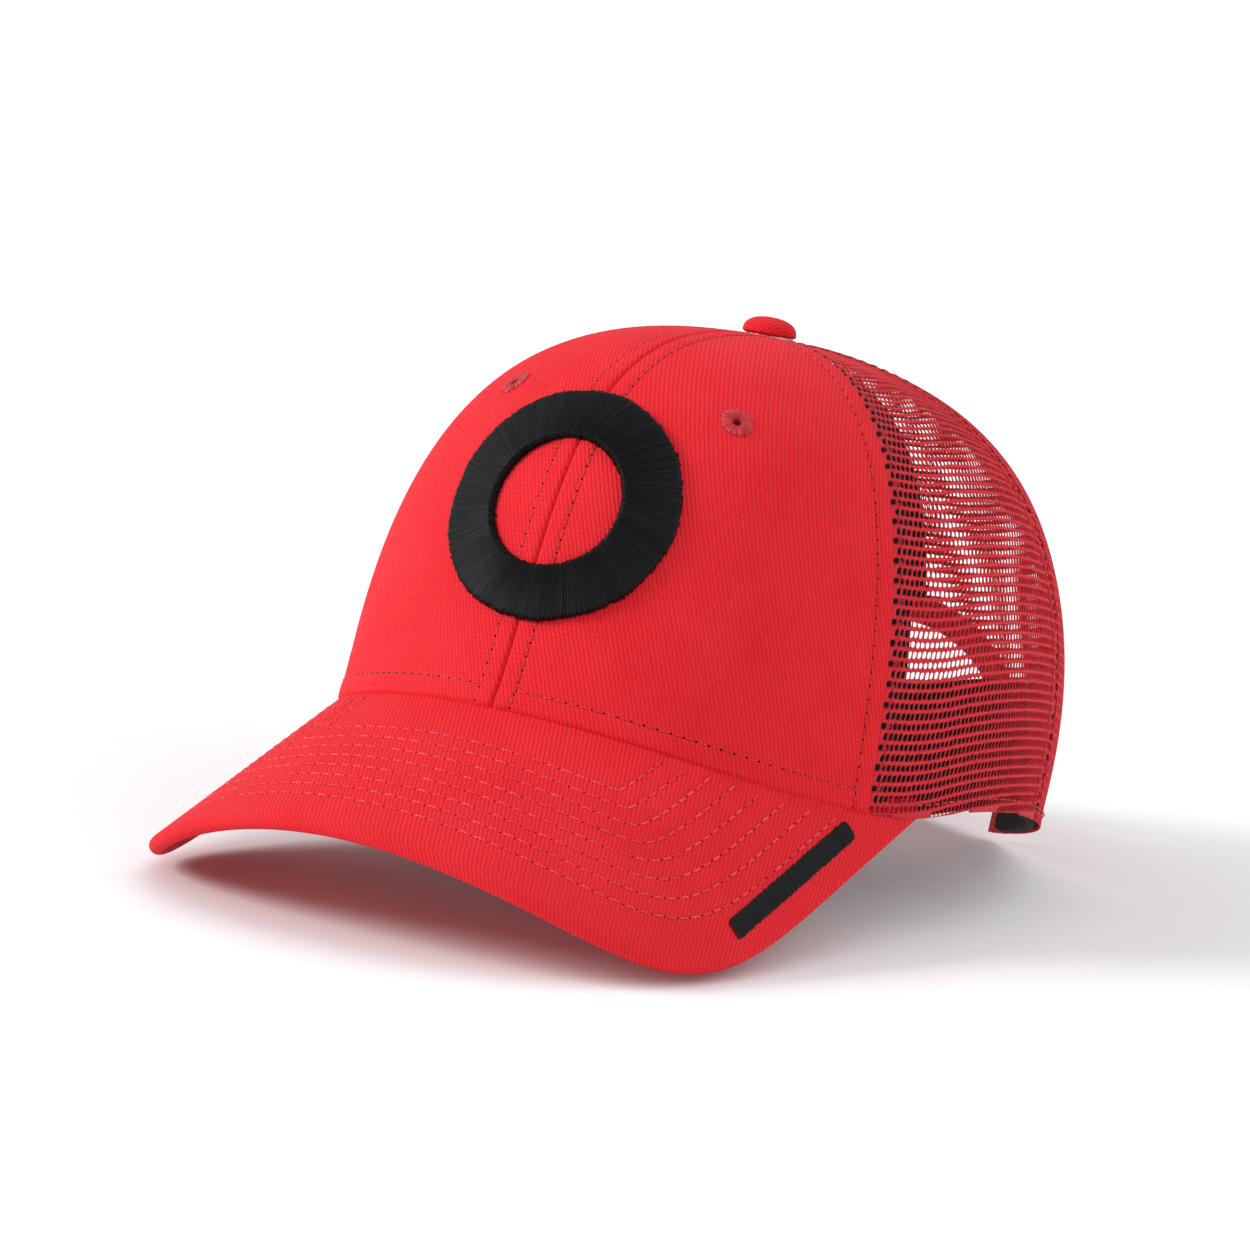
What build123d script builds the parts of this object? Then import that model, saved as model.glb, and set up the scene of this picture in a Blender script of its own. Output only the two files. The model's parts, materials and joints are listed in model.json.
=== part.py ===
from build123d import *
import os
from math import asin, cos, degrees, hypot, radians, sin, sqrt

# Trucker mesh cap, in millimetres. The crown is built about the Z axis with its front towards -Y and
# the wearer's left towards +X, and the whole cap is then tipped to stand as it does on a table:
# on the two low corners of the brim and on the rim at the back.

# Crown: half an ellipse in front and half an ellipse behind
crown_half_width = 81.5
crown_front = 103.0
crown_back = 106.5
crown_height = 115.5
button_hole_radius = 2.5
back_rim_height = 0.5
brim_contact_angle = 73.0
front_seam_angle = 57.0
rear_seam_angle = 114.0

# Meridians, as (side, front, back): shoulder reach as a share of the radius, shoulder height as a
# share of the wall, and how far the shoulder overhangs the rim
shoulder_reach = (0.76, 0.96, 0.69)
shoulder_level = (0.60, 0.487, 0.72)
shoulder_overhang = (4.4, -14.8, 8.1)

# Layers of the wall, as depths in from its outer face
twill = 0.7
wall = 1.2
tape_outer = 1.25
tape = 0.4
strap_outer_depth = 1.75
strap_thickness = 1.2
band_foam_depth = 3.1
band_cloth_depth = 4.3
band_depth = 5.1
band_height = 32.0
band_turn_height = 1.2
tape_width = 12.0
tape_rim_gap = 2.0
tape_slice = 28.0
front_tape_slice = 26.0

# Brim: a flat pattern rolled round a cylinder and tipped down
brim_roll_radius = 95.5
brim_droop = 26.4
brim_seam_height = 19.2
brim_projection = 65.5
brim_corner_angle = 68.4
brim_corner_swell = 1.9
brim_squareness = 0.324
brim_cloth = 0.7
brim_board_thickness = 2.6
brim_thickness = 2 * brim_cloth + brim_board_thickness
brim_stations = 14
layer_gap = 0.03

# Trim
emblem_height = 51.0
emblem_radius = 29.0
emblem_band = 13.0
emblem_foam_thickness = 1.6
emblem_thread = 0.5
bar_length = 55.0
bar_width = 5.5
bar_across = 82.0
bar_forward = -9.5
bar_thickness = 0.5
eyelet_angle = 24.5
eyelet_height = 83.0
eyelet_radius = 3.9
eyelet_hole_radius = 1.0
eyelet_barrel_radius = 1.8
eyelet_flange = 0.6
button_radius = 6.6
button_height = 5.0
button_cloth = 0.6
button_round = 3.0
button_lip = 0.6
prong_radius = 1.6
backing_radius = 6.0
backing_depth = 1.8
backing_thickness = 0.8
label_width = 38.0
label_height = 22.0
label_thickness = 0.3
label_angle = 112.0
label_low = 5.0

# Opening and snap closure at the back
arch_half_width = 40.0
arch_straight = 11.0
arch_binding_width = 7.0
binding_proud = 0.4
strap_height = 19.0
strap_bottom = 6.5
strap_free_length = 56.4
strap_root = 34.5
strap_tab_length = 17.0
strap_gap = 0.3
strap_end_margin = 0.1
strap_root_gap = 0.9
peg_pitch = 9.5
pegs_per_strap = 5
peg_radius = 1.7
peg_hole_radius = 2.0
peg_head_radius = 2.3
peg_head_thickness = 0.9

# How the cap stands
stand_tilt = 8.6

# Reach of the cutting tools past the faces they cut
cut_length = 140.0
emblem_slice = 27.0
emblem_slice_low = 10.0
emblem_slice_high = 100.0
binding_slice = 55.0
binding_slice_high = 75.0


def blend(values, angle):
    """A (side, front, back) value at an angle round the crown, with 0 at the front."""
    side, front, back = values
    facing = cos(radians(angle))
    end = front if facing > 0 else back
    return side + (end - side) * facing**2


def plan_radius(angle, depth=0.0):
    """Distance from the crown's axis to the rim."""
    reach = crown_front if cos(radians(angle)) > 0 else crown_back
    across = sin(radians(angle)) / (crown_half_width - depth)
    along = cos(radians(angle)) / (reach - depth)
    return 1 / hypot(across, along)


def brim_top(x, y):
    """Height of the brim's top face above a point of the plan."""
    roll = brim_roll_radius - sqrt(brim_roll_radius**2 - x**2)
    droop = radians(brim_droop)
    forward = (-crown_front + roll * sin(droop) - y) / cos(droop)
    return brim_seam_height - forward * sin(droop) - roll * cos(droop)


def brim_rim(angle, depth):
    radius = plan_radius(angle, depth)
    return brim_top(radius * sin(radians(angle)), -radius * cos(radians(angle)))


def rim_height(angle, depth=0.0):
    """The rim lies on the brim in front and sweeps down from its corners to the back."""
    turn = abs((angle + 180) % 360 - 180)
    if turn <= brim_contact_angle:
        return brim_rim(turn, depth)
    start = brim_rim(brim_contact_angle, depth)
    slope = start - brim_rim(brim_contact_angle - 1, depth)
    span = 180 - brim_contact_angle
    t = (turn - brim_contact_angle) / span
    start_share = 2 * t**3 - 3 * t**2 + 1
    return start * start_share + slope * span * (t**3 - 2 * t**2 + t) + back_rim_height * (1 - start_share)


def inward(start, end):
    """Unit normal of a leg of the meridian, towards the inside of the crown."""
    length = hypot(end[0] - start[0], end[1] - start[1])
    return (end[1] - start[1]) / length, -(end[0] - start[0]) / length


def mitred(before, corner, after, depth):
    """A corner of the meridian's control polygon, moved in by a depth."""
    n1 = inward(before, corner)
    n2 = inward(corner, after)
    reach = depth / (1 + n1[0] * n2[0] + n1[1] * n2[1])
    return corner[0] + reach * (n1[0] + n2[0]), corner[1] + reach * (n1[1] + n2[1])


def meridian(angle, depth):
    """Control points, as (radius, height), of the wall's curve from the button hole to the rim."""
    radius = plan_radius(angle)
    rim = rim_height(angle)
    top = (button_hole_radius, crown_height)
    shoulder = (blend(shoulder_reach, angle) * radius, crown_height)
    waist_height = rim + blend(shoulder_level, angle) * (crown_height - rim)
    waist = (radius + blend(shoulder_overhang, angle), waist_height)
    foot = (radius, rim)
    return (
        (button_hole_radius, crown_height - depth),
        mitred(top, shoulder, waist, depth),
        mitred(shoulder, waist, foot, depth),
        (plan_radius(angle, depth), rim_height(angle, depth)),
    )


def curve_point(points, t):
    shares = ((1 - t) ** 3, 3 * t * (1 - t) ** 2, 3 * t**2 * (1 - t), t**3)
    return tuple(sum(s * p[k] for s, p in zip(shares, points)) for k in (0, 1))


def height_share(points, height):
    """Curve parameter of the point that lies a given length up the wall from the rim."""
    steps = 400
    length = 0.0
    here = points[3]
    for step in range(1, steps + 1):
        there = curve_point(points, 1 - step / steps)
        length += hypot(there[0] - here[0], there[1] - here[1])
        here = there
        if length >= height:
            return 1 - step / steps
    return 0.0


def blossom(points, a, b, c):
    """Polar form of the curve, which gives the control points of any stretch of it."""
    for t in (a, b, c):
        points = [tuple((1 - t) * p[k] + t * q[k] for k in (0, 1)) for p, q in zip(points, points[1:])]
    return points[0]


def wall_curve(angle, depth, low, high):
    """Control points of the wall's curve between two heights above the rim, top first."""
    points = meridian(angle, depth)
    top = 0.0 if high is None else height_share(points, high)
    foot = 1.0 if low == 0 else height_share(points, low)
    return [
        blossom(points, top, top, top),
        blossom(points, top, top, foot),
        blossom(points, top, foot, foot),
        blossom(points, foot, foot, foot),
    ]


def meridian_plane(angle):
    turn = radians(angle)
    return Plane(origin=(0, 0, 0), x_dir=(sin(turn), -cos(turn), 0), z_dir=(-cos(turn), -sin(turn), 0))


def wall_section(angle, outer, inner, low, high):
    outside = wall_curve(angle, outer, low, high)
    inside = wall_curve(angle, inner, low, high)
    with BuildSketch(meridian_plane(angle)) as section:
        with BuildLine():
            Bezier(*outside)
            Line(outside[3], inside[3])
            Bezier(*reversed(inside))
            Line(inside[0], outside[0])
        make_face()
    return section.sketch


def band_section(angle):
    """Outline of the sweatband's cloth: up the inside of the wall, with its foot turned out to the rim."""
    front = wall_curve(angle, band_cloth_depth, band_turn_height, band_height)
    back = wall_curve(angle, band_depth, 0, band_height)
    turn = wall_curve(angle, wall + 0.05, 0, band_turn_height)
    with BuildSketch(meridian_plane(angle)) as section:
        with BuildLine():
            Bezier(*front)
            Line(front[3], turn[0])
            Line(turn[0], turn[3])
            Line(turn[3], back[3])
            Bezier(*reversed(back))
            Line(back[0], front[0])
        make_face()
    return section.sketch


def wall_sections(start, end, outer, inner, low=0, high=None, pitch=10):
    """Sections of a layer of the wall, at even angles from one meridian to another."""
    count = max(2, round(abs(end - start) / pitch))
    angles = [start + (end - start) * step / count for step in range(count + 1)]
    return [wall_section(angle, outer, inner, low, high) for angle in angles]


def wall_point(angle, height, depth=0.0):
    points = meridian(angle, depth)
    radius, level = curve_point(points, height_share(points, height))
    return Vector(radius * sin(radians(angle)), -radius * cos(radians(angle)), level)


def wall_plane(angle, height):
    """Plane on the wall's outer face, looking out of it, with its Y axis up the wall."""
    here = wall_point(angle, height)
    up = wall_point(angle, height + 1) - here
    across = wall_point(angle + 0.5, height) - here
    return Plane(origin=here, x_dir=across, z_dir=across.cross(up))


def brim_outline_half_angle(forward, inset):
    """Half the roll angle that the brim's pattern covers at a distance forward of the crown."""
    corner_x = plan_radius(brim_corner_angle) * sin(radians(brim_corner_angle))
    half_width = brim_roll_radius * asin(corner_x / brim_roll_radius) - inset
    reach = (forward - brim_back) / (brim_projection - inset - brim_back)
    toward_tip = reach ** (1 / brim_squareness)
    aside = sqrt(1 - toward_tip**2)
    return (half_width * aside + 2 * brim_corner_swell * aside * toward_tip) / brim_roll_radius


def corner_forward():
    """Where the brim's corner meets the rim, measured forward along the pattern."""
    radius = plan_radius(brim_corner_angle)
    x = radius * sin(radians(brim_corner_angle))
    y = -radius * cos(radians(brim_corner_angle))
    roll = brim_roll_radius - sqrt(brim_roll_radius**2 - x**2)
    droop = radians(brim_droop)
    return (-crown_front + roll * sin(droop) - y) / cos(droop)


brim_back = corner_forward()
brim_origin = Vector(0, -crown_front, brim_seam_height)
brim_ahead = Vector(0, -cos(radians(brim_droop)), -sin(radians(brim_droop)))


def brim_sections(top, bottom, inset=0.0):
    """Curved slices of the rolled brim between two depths, from the crown to the front edge."""
    slices = []
    for step in range(brim_stations + 1):
        reach = sin(radians(89 * step / brim_stations))
        forward = brim_back + (brim_projection - inset - brim_back) * reach
        half = brim_outline_half_angle(forward, inset)
        station = Plane(origin=brim_origin + brim_ahead * forward, x_dir=(1, 0, 0), z_dir=brim_ahead)
        outer = brim_roll_radius - top
        inner = brim_roll_radius - bottom
        with BuildSketch(station) as slice_face:
            with BuildLine():
                over = CenterArc((0, -brim_roll_radius), outer, 90 - degrees(half), 2 * degrees(half))
                under = CenterArc((0, -brim_roll_radius), inner, 90 - degrees(half), 2 * degrees(half))
                Line(over @ 0, under @ 0)
                Line(over @ 1, under @ 1)
            make_face()
        slices.append(slice_face.sketch)
    return slices


def crown_core(depth):
    """The space inside the wall, which the brim stays out of."""
    with BuildSketch(Plane.XY.offset(-60)) as plan:
        Ellipse(crown_half_width - depth, crown_front - depth)
    return plan.sketch


def arch_face(spread):
    """The opening at the back, seen from behind."""
    half = arch_half_width + spread
    top = back_rim_height + arch_straight
    with BuildSketch(Plane(origin=(0, 0, 0), x_dir=(1, 0, 0), z_dir=(0, -1, 0))) as face:
        with BuildLine():
            Line((-half, -30), (-half, top))
            RadiusArc((-half, top), (half, top), half)
            Line((half, top), (half, -30))
            Line((half, -30), (-half, -30))
        make_face()
    return face.sketch


pieces = {}


def keep(name, part):
    part.label = name
    pieces[name] = part


sides = {"left": 1, "right": -1}

# Front panels and the buckram behind them
for side, sign in sides.items():
    for name, outer, inner in (("front_panel", 0, twill), ("front_buckram", twill, wall)):
        with BuildPart() as panel:
            loft(sections=wall_sections(0, sign * front_seam_angle, outer, inner))
            with BuildSketch(wall_plane(sign * eyelet_angle, eyelet_height)):
                Circle(eyelet_barrel_radius)
            extrude(amount=8, both=True, mode=Mode.SUBTRACT)
        keep(f"{name}_{side}", panel.part)

# Mesh panels, the rear pair cut away for the bound opening
for side, sign in sides.items():
    with BuildPart() as side_mesh:
        loft(sections=wall_sections(sign * front_seam_angle, sign * rear_seam_angle, 0, wall))
    keep(f"side_mesh_{side}", side_mesh.part)
    with BuildPart() as back_mesh:
        loft(sections=wall_sections(sign * rear_seam_angle, sign * 180, 0, wall))
        extrude(arch_face(arch_binding_width), amount=-cut_length, mode=Mode.SUBTRACT)
    keep(f"back_mesh_{side}", back_mesh.part)

# Binding folded over the edge of the opening
with BuildPart() as binding:
    binding_start = 180 - binding_slice
    binding_end = 180 + binding_slice
    folded = wall + binding_proud
    loft(sections=wall_sections(binding_start, binding_end, -binding_proud, folded, high=binding_slice_high))
    extrude(arch_face(arch_binding_width), amount=-cut_length, mode=Mode.INTERSECT)
    extrude(arch_face(0), amount=-cut_length, mode=Mode.SUBTRACT)
keep("back_arch_binding", binding.part)

# Tapes over the seams, each as wide as the wedge between its neighbours allows near the button
seam_angles = {
    "front": 0,
    "front_left": front_seam_angle,
    "front_right": -front_seam_angle,
    "rear_left": rear_seam_angle,
    "rear_right": -rear_seam_angle,
    "back": 180,
}
for place, seam in seam_angles.items():
    reach = front_tape_slice if place == "front" else tape_slice
    with BuildPart() as seam_tape:
        tape_inner = tape_outer + tape
        loft(sections=wall_sections(seam - reach, seam + reach, tape_outer, tape_inner, low=tape_rim_gap))
        with BuildSketch(Plane.XY.rotated((0, 0, seam))):
            Rectangle(tape_width, 2 * crown_back, align=(Align.CENTER, Align.MAX))
        extrude(amount=cut_length, mode=Mode.INTERSECT)
        if place == "back":
            extrude(arch_face(arch_binding_width), amount=-cut_length, mode=Mode.SUBTRACT)
    keep(f"seam_tape_{place}", seam_tape.part)

# Sweatband, open at the back: a foam strip behind cloth that turns under it to the rim
band_end = 180 - degrees(asin((arch_half_width + arch_binding_width + 1) / plan_radius(150)))
foam_low = band_turn_height + 0.2
foam_inner = band_cloth_depth - 0.1
with BuildPart() as foam:
    loft(sections=wall_sections(-band_end, band_end, band_foam_depth, foam_inner, foam_low, band_height))
keep("sweatband_foam", foam.part)
with BuildPart() as band_cover:
    loft(sections=[band_section(band_end * step / 18) for step in range(-18, 19)])
keep("sweatband_cover", band_cover.part)

# Blank label sewn to the inside of the sweatband
with BuildPart() as label:
    half_turn = degrees(label_width / 2 / plan_radius(label_angle))
    loft(
        sections=wall_sections(
            label_angle - half_turn,
            label_angle + half_turn,
            band_depth + 0.05,
            band_depth + 0.05 + label_thickness,
            label_low,
            label_low + label_height,
        )
    )
keep("care_label", label.part)

# Brim: a board between two cloth covers, the upper one turned down over its edge
board_top = brim_cloth
board_bottom = brim_cloth + brim_board_thickness
for name, top, bottom in (
    ("brim_board", board_top, board_bottom),
    ("brim_under_cover", board_bottom + layer_gap, brim_thickness),
):
    with BuildPart() as layer:
        loft(sections=brim_sections(top, bottom, brim_cloth))
        extrude(crown_core(band_depth), amount=cut_length, mode=Mode.SUBTRACT)
    keep(name, layer.part)
with BuildPart() as brim_filling:
    loft(sections=brim_sections(board_top, brim_thickness + 1, brim_cloth))
with BuildPart() as brim_cover:
    loft(sections=brim_sections(0, brim_thickness))
    add(brim_filling.part, mode=Mode.SUBTRACT)
    extrude(crown_core(band_depth), amount=cut_length, mode=Mode.SUBTRACT)
keep("brim_top_cover", brim_cover.part)

# Button: cloth over a cup, held by a pronged plate inside the crown
button_foot = crown_height


def button_dome(radius, height):
    """A low dome with a straight lip and a rounded shoulder."""
    crest = button_foot + height
    lip = button_foot + button_lip
    with BuildPart() as dome:
        with BuildSketch(Plane.XZ):
            with BuildLine():
                Line((0, crest), (radius - button_round, crest))
                EllipticalCenterArc(
                    (radius - button_round, lip), button_round, crest - lip, start_angle=0, arc_size=90
                )
                Polyline((radius, lip), (radius, button_foot), (0, button_foot), (0, crest))
            make_face()
        revolve(axis=Axis.Z)
    return dome.part


shell_dome = button_dome(button_radius - button_cloth, button_height - button_cloth)
keep("button_shell", shell_dome)
with BuildPart() as button_cover:
    add(button_dome(button_radius, button_height))
    add(shell_dome, mode=Mode.SUBTRACT)
keep("button_cover", button_cover.part)
with BuildPart() as button_backing:
    with BuildSketch(Plane.XY.offset(button_foot - backing_depth)):
        Circle(backing_radius)
    extrude(amount=-backing_thickness)
    with BuildSketch(Plane.XY.offset(button_foot)):
        Circle(prong_radius)
    extrude(amount=-backing_depth)
keep("button_backing", button_backing.part)

# Eyelets: a ring on each face of the panel, joined by a barrel
for side, sign in sides.items():
    face = wall_plane(sign * eyelet_angle, eyelet_height)
    with BuildPart() as eyelet:
        with BuildSketch(face.offset(0.15)):
            Circle(eyelet_radius)
        extrude(amount=eyelet_flange)
        with BuildSketch(face.offset(-wall - 0.15)):
            Circle(eyelet_radius)
        extrude(amount=-eyelet_flange)
        with BuildSketch(face.offset(0.15)):
            Circle(eyelet_barrel_radius - 0.05)
        extrude(amount=-wall - 0.3)
        with BuildSketch(face):
            Circle(eyelet_hole_radius)
        extrude(amount=4, both=True, mode=Mode.SUBTRACT)
    keep(f"eyelet_{side}", eyelet.part)

# Raised ring on the front, wrapped to the wall
emblem_plane = wall_plane(0, emblem_height)
emblem_proud = emblem_foam_thickness + emblem_thread


def wrapped_ring(inset, outer_depth, inner_depth):
    """A ring of the front wall between two depths, drawn in by an inset from the emblem's edges."""
    with BuildPart() as ring:
        loft(
            sections=wall_sections(
                -emblem_slice, emblem_slice, outer_depth, inner_depth, emblem_slice_low, emblem_slice_high
            )
        )
        with BuildSketch(emblem_plane):
            Circle(emblem_radius - inset)
            Circle(emblem_radius - emblem_band + inset, mode=Mode.SUBTRACT)
        extrude(amount=emblem_radius, both=True, mode=Mode.INTERSECT)
    return ring.part


emblem_filling = wrapped_ring(emblem_thread, -emblem_foam_thickness, 1)
keep("front_emblem_foam", wrapped_ring(emblem_thread, -emblem_foam_thickness, -0.05))
with BuildPart() as emblem_stitching:
    add(wrapped_ring(0, -emblem_proud, -0.05))
    add(emblem_filling, mode=Mode.SUBTRACT)
keep("front_emblem_stitching", emblem_stitching.part)

# Flat stitched bar along the wearer's left edge of the brim
with BuildPart() as bar:
    station = Plane(
        origin=brim_origin + brim_ahead * (bar_forward - bar_length / 2),
        x_dir=(1, 0, 0),
        z_dir=brim_ahead,
    )
    low_angle = 90 - degrees((bar_across + bar_width / 2) / brim_roll_radius)
    sweep_angle = degrees(bar_width / brim_roll_radius)
    with BuildSketch(station):
        with BuildLine():
            over = CenterArc((0, -brim_roll_radius), brim_roll_radius + bar_thickness, low_angle, sweep_angle)
            under = CenterArc((0, -brim_roll_radius), brim_roll_radius, low_angle, sweep_angle)
            Line(over @ 0, under @ 0)
            Line(over @ 1, under @ 1)
        make_face()
    extrude(amount=bar_length)
keep("brim_bar_stitching", bar.part)

# Snap closure: both straps follow the wall, the peg strap stepping in to lie behind the hole strap
closure_radius = plan_radius(180 - arch_half_width / 3)
root_turn = degrees(asin(strap_root / plan_radius(180 - strap_root / 1.75)))
free_turn = degrees(strap_free_length / closure_radius)
peg_turn = degrees(peg_pitch / closure_radius)
strap_top = strap_bottom + strap_height
strap_middle = strap_bottom + strap_height / 2
peg_face_depth = strap_outer_depth + strap_thickness + strap_gap


def peg_strap_depth(turn):
    """Outer face of the peg strap, at an angle from its root."""
    step = min(1, turn / (root_turn - free_turn / 2 + 4))
    return strap_outer_depth + (peg_face_depth - strap_outer_depth) * step**2 * (3 - 2 * step)


def strap_body(sign, depth_at):
    """A strap from its root to its rounded tip, and the plane that its tip is rounded in."""
    root = 180 - sign * root_turn
    turns = [free_turn * step / 12 for step in range(13)]
    sections = []
    for turn in turns:
        depth = depth_at(turn)
        angle = root + sign * turn
        sections.append(wall_section(angle, depth, depth + strap_thickness, strap_bottom, strap_top))
    tip = root + sign * free_turn
    tip_plane = wall_plane(tip, strap_middle)
    strap_end = Align.MIN if sign < 0 else Align.MAX
    with BuildPart() as strap:
        loft(sections=sections)
        with BuildSketch(tip_plane):
            with Locations((sign * strap_end_margin, 0)):
                Rectangle(strap_height, strap_height + 4, align=(strap_end, Align.CENTER))
            round_centre = (-sign * strap_height / 2, 0)
            round_far = (-sign * strap_height, 0)
            SlotCenterPoint(round_centre, round_far, strap_height, mode=Mode.SUBTRACT)
        extrude(amount=6, both=True, mode=Mode.SUBTRACT)
    return strap.part


def strap_tab(sign):
    """The end of a strap that is sewn between the mesh and the sweatband."""
    start = root_turn + degrees(strap_root_gap / closure_radius)
    end = start + degrees(strap_tab_length / closure_radius)
    sections = wall_sections(
        180 - sign * start,
        180 - sign * end,
        strap_outer_depth,
        strap_outer_depth + strap_thickness,
        strap_bottom,
        strap_top,
        pitch=4,
    )
    with BuildPart() as tab:
        loft(sections=sections)
    return tab.part


peg_angles = [180 - peg_turn * (k + 0.5) for k in range(2 - pegs_per_strap, 2)]
with BuildPart() as hole_strap:
    add(strap_body(1, lambda turn: strap_outer_depth))
    for angle in peg_angles:
        with BuildSketch(wall_plane(360 - angle, strap_middle)):
            Circle(peg_hole_radius)
        extrude(amount=6, both=True, mode=Mode.SUBTRACT)
keep("hole_strap", hole_strap.part)
with BuildPart() as peg_strap:
    add(strap_body(-1, peg_strap_depth))
    for angle in peg_angles:
        face = wall_plane(angle, strap_middle)
        head_foot = strap_gap - strap_outer_depth
        peg_foot = -peg_strap_depth(180 + root_turn - angle) - strap_thickness / 2
        with BuildSketch(face.offset(head_foot)):
            Circle(peg_radius)
        extrude(amount=peg_foot - head_foot)
        with BuildSketch(face.offset(head_foot)):
            Circle(peg_head_radius)
        extrude(amount=peg_head_thickness)
keep("peg_strap", peg_strap.part)
keep("hole_strap_tab", strap_tab(1))
keep("peg_strap_tab", strap_tab(-1))

# Stand the cap up and write its pieces
stood = {name: part.rotate(Axis.X, -stand_tilt) for name, part in pieces.items()}
box = Compound(children=[Compound(part.solids()) for part in stood.values()]).bounding_box()
to_origin = Location((-box.center().X, -box.center().Y, -box.min.Z))
os.makedirs("parts", exist_ok=True)
for name, part in stood.items():
    placed = part.moved(to_origin)
    placed.label = name
    export_step(placed, f"parts/{name}.step")
print("moved to the origin by", to_origin.position)
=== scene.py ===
"""Trucker mesh cap: its looks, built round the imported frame. Shapes are worked out in millimetres about
the crown's own axis, front towards -Y, and then stood up into the row frame in metres."""
import json
import math

import bpy
import numpy as np
from mathutils import Matrix, Vector
from mathutils.geometry import delaunay_2d_cdt


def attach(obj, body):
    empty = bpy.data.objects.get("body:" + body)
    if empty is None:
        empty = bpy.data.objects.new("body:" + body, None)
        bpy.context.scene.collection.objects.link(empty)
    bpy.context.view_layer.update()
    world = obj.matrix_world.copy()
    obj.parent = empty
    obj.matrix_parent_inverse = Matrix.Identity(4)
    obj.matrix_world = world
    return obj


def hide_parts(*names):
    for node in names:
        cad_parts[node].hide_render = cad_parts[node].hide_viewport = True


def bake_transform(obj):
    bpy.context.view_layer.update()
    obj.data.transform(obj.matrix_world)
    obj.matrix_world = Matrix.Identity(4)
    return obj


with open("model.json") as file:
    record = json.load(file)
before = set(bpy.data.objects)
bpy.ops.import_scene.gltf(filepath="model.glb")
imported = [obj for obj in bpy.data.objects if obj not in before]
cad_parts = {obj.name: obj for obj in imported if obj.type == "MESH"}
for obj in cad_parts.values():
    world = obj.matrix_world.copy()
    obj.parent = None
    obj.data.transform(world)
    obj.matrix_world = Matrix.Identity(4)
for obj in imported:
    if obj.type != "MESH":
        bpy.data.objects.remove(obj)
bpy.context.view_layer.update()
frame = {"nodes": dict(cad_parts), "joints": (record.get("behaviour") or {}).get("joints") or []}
chance = np.random.default_rng(11)
MM = 0.001

# Crown
HALF_WIDTH, FRONT, BACK, TOP = 81.5, 103.0, 106.5, 115.5
BUTTON_HOLE = 2.5
BACK_RIM = 0.5
CONTACT_ANGLE = 73.0
FRONT_SEAM, REAR_SEAM = 57.0, 114.0
SHOULDER_REACH = (0.76, 0.96, 0.69)
SHOULDER_LEVEL = (0.60, 0.487, 0.72)
SHOULDER_OVERHANG = (4.4, -14.8, 8.1)
TWILL = 0.7
BAND_HEIGHT = 32.0
BAND_FRONT = 2.9

# Brim
ROLL = 95.5
DROOP = math.radians(26.4)
BRIM_SEAM = 19.2
PROJECTION = 65.5
CORNER_ANGLE = 68.4
CORNER_SWELL = 1.9
SQUARENESS = 0.324
BRIM_THICK = 4.0

# Closure
ARCH_HALF, ARCH_STRAIGHT, BINDING = 40.0, 11.0, 7.0
STRAP_DEPTH, STRAP_THICK, STRAP_GAP = 1.75, 1.2, 0.3
STRAP_BOTTOM, STRAP_HEIGHT = 6.5, 19.0
STRAP_ROOT, STRAP_FREE, STRAP_TAB = 34.5, 56.4, 17.0
PEG_PITCH, PEGS = 9.5, 5
PEG_RADIUS, PEG_HOLE, PEG_HEAD, PEG_HEAD_THICK = 1.7, 2.0, 2.3, 0.9

# Trim
EMBLEM_RISE, EMBLEM_RADIUS, EMBLEM_BAND, EMBLEM_PROUD = 51.0, 29.0, 13.0, 2.1
EYELET_ANGLE, EYELET_RISE, EYELET_RADIUS = 24.5, 83.0, 3.9
BUTTON_RADIUS, BUTTON_HEIGHT = 6.6, 5.0
BAR_LENGTH, BAR_WIDTH, BAR_ACROSS, BAR_FORWARD = 55.0, 5.5, 82.0, -9.5
STAND_TILT = math.radians(8.6)


# ---- Small formulas --------------------------------------------------------------------------------

def ramp(x):
    """x held between 0 and 1."""
    return np.clip(x, 0, 1)


def bell(x, width):
    """A smooth bump, 1 at 0, that fades over a width."""
    return np.exp(-((x / width) ** 2))


def unit(v):
    return v / np.maximum(np.linalg.norm(v, axis=-1, keepdims=True), 1e-9)


def run_of(points):
    """Length along a polyline at each of its points."""
    return np.concatenate([[0], np.cumsum(np.linalg.norm(np.diff(points, axis=0), axis=1))])


def length_of(points):
    return float(np.linalg.norm(np.diff(points, axis=0), axis=1).sum())


def along(points, places, values=None):
    """A polyline's points, or other values that its points have, read at lengths along it."""
    run = run_of(points)
    table = points if values is None else values
    return np.stack([np.interp(places, run, column) for column in table.T], -1)


# ---- The crown's wall ------------------------------------------------------------------------------

def share(values, phi):
    """A (side, front, back) value at an angle in degrees, 0 at the front."""
    side, front, back = values
    facing = np.cos(np.radians(phi))
    return side + (np.where(facing > 0, front, back) - side) * facing**2


def plan_radius(phi):
    s, c = np.sin(np.radians(phi)), np.cos(np.radians(phi))
    return 1 / np.hypot(s / HALF_WIDTH, c / np.where(c > 0, FRONT, BACK))


def brim_top(x, y):
    """Height of the brim's top face above a point of the plan."""
    roll = ROLL - np.sqrt(np.maximum(ROLL**2 - x**2, 0))
    forward = (-FRONT + roll * math.sin(DROOP) - y) / math.cos(DROOP)
    return BRIM_SEAM - forward * math.sin(DROOP) - roll * math.cos(DROOP)


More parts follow.
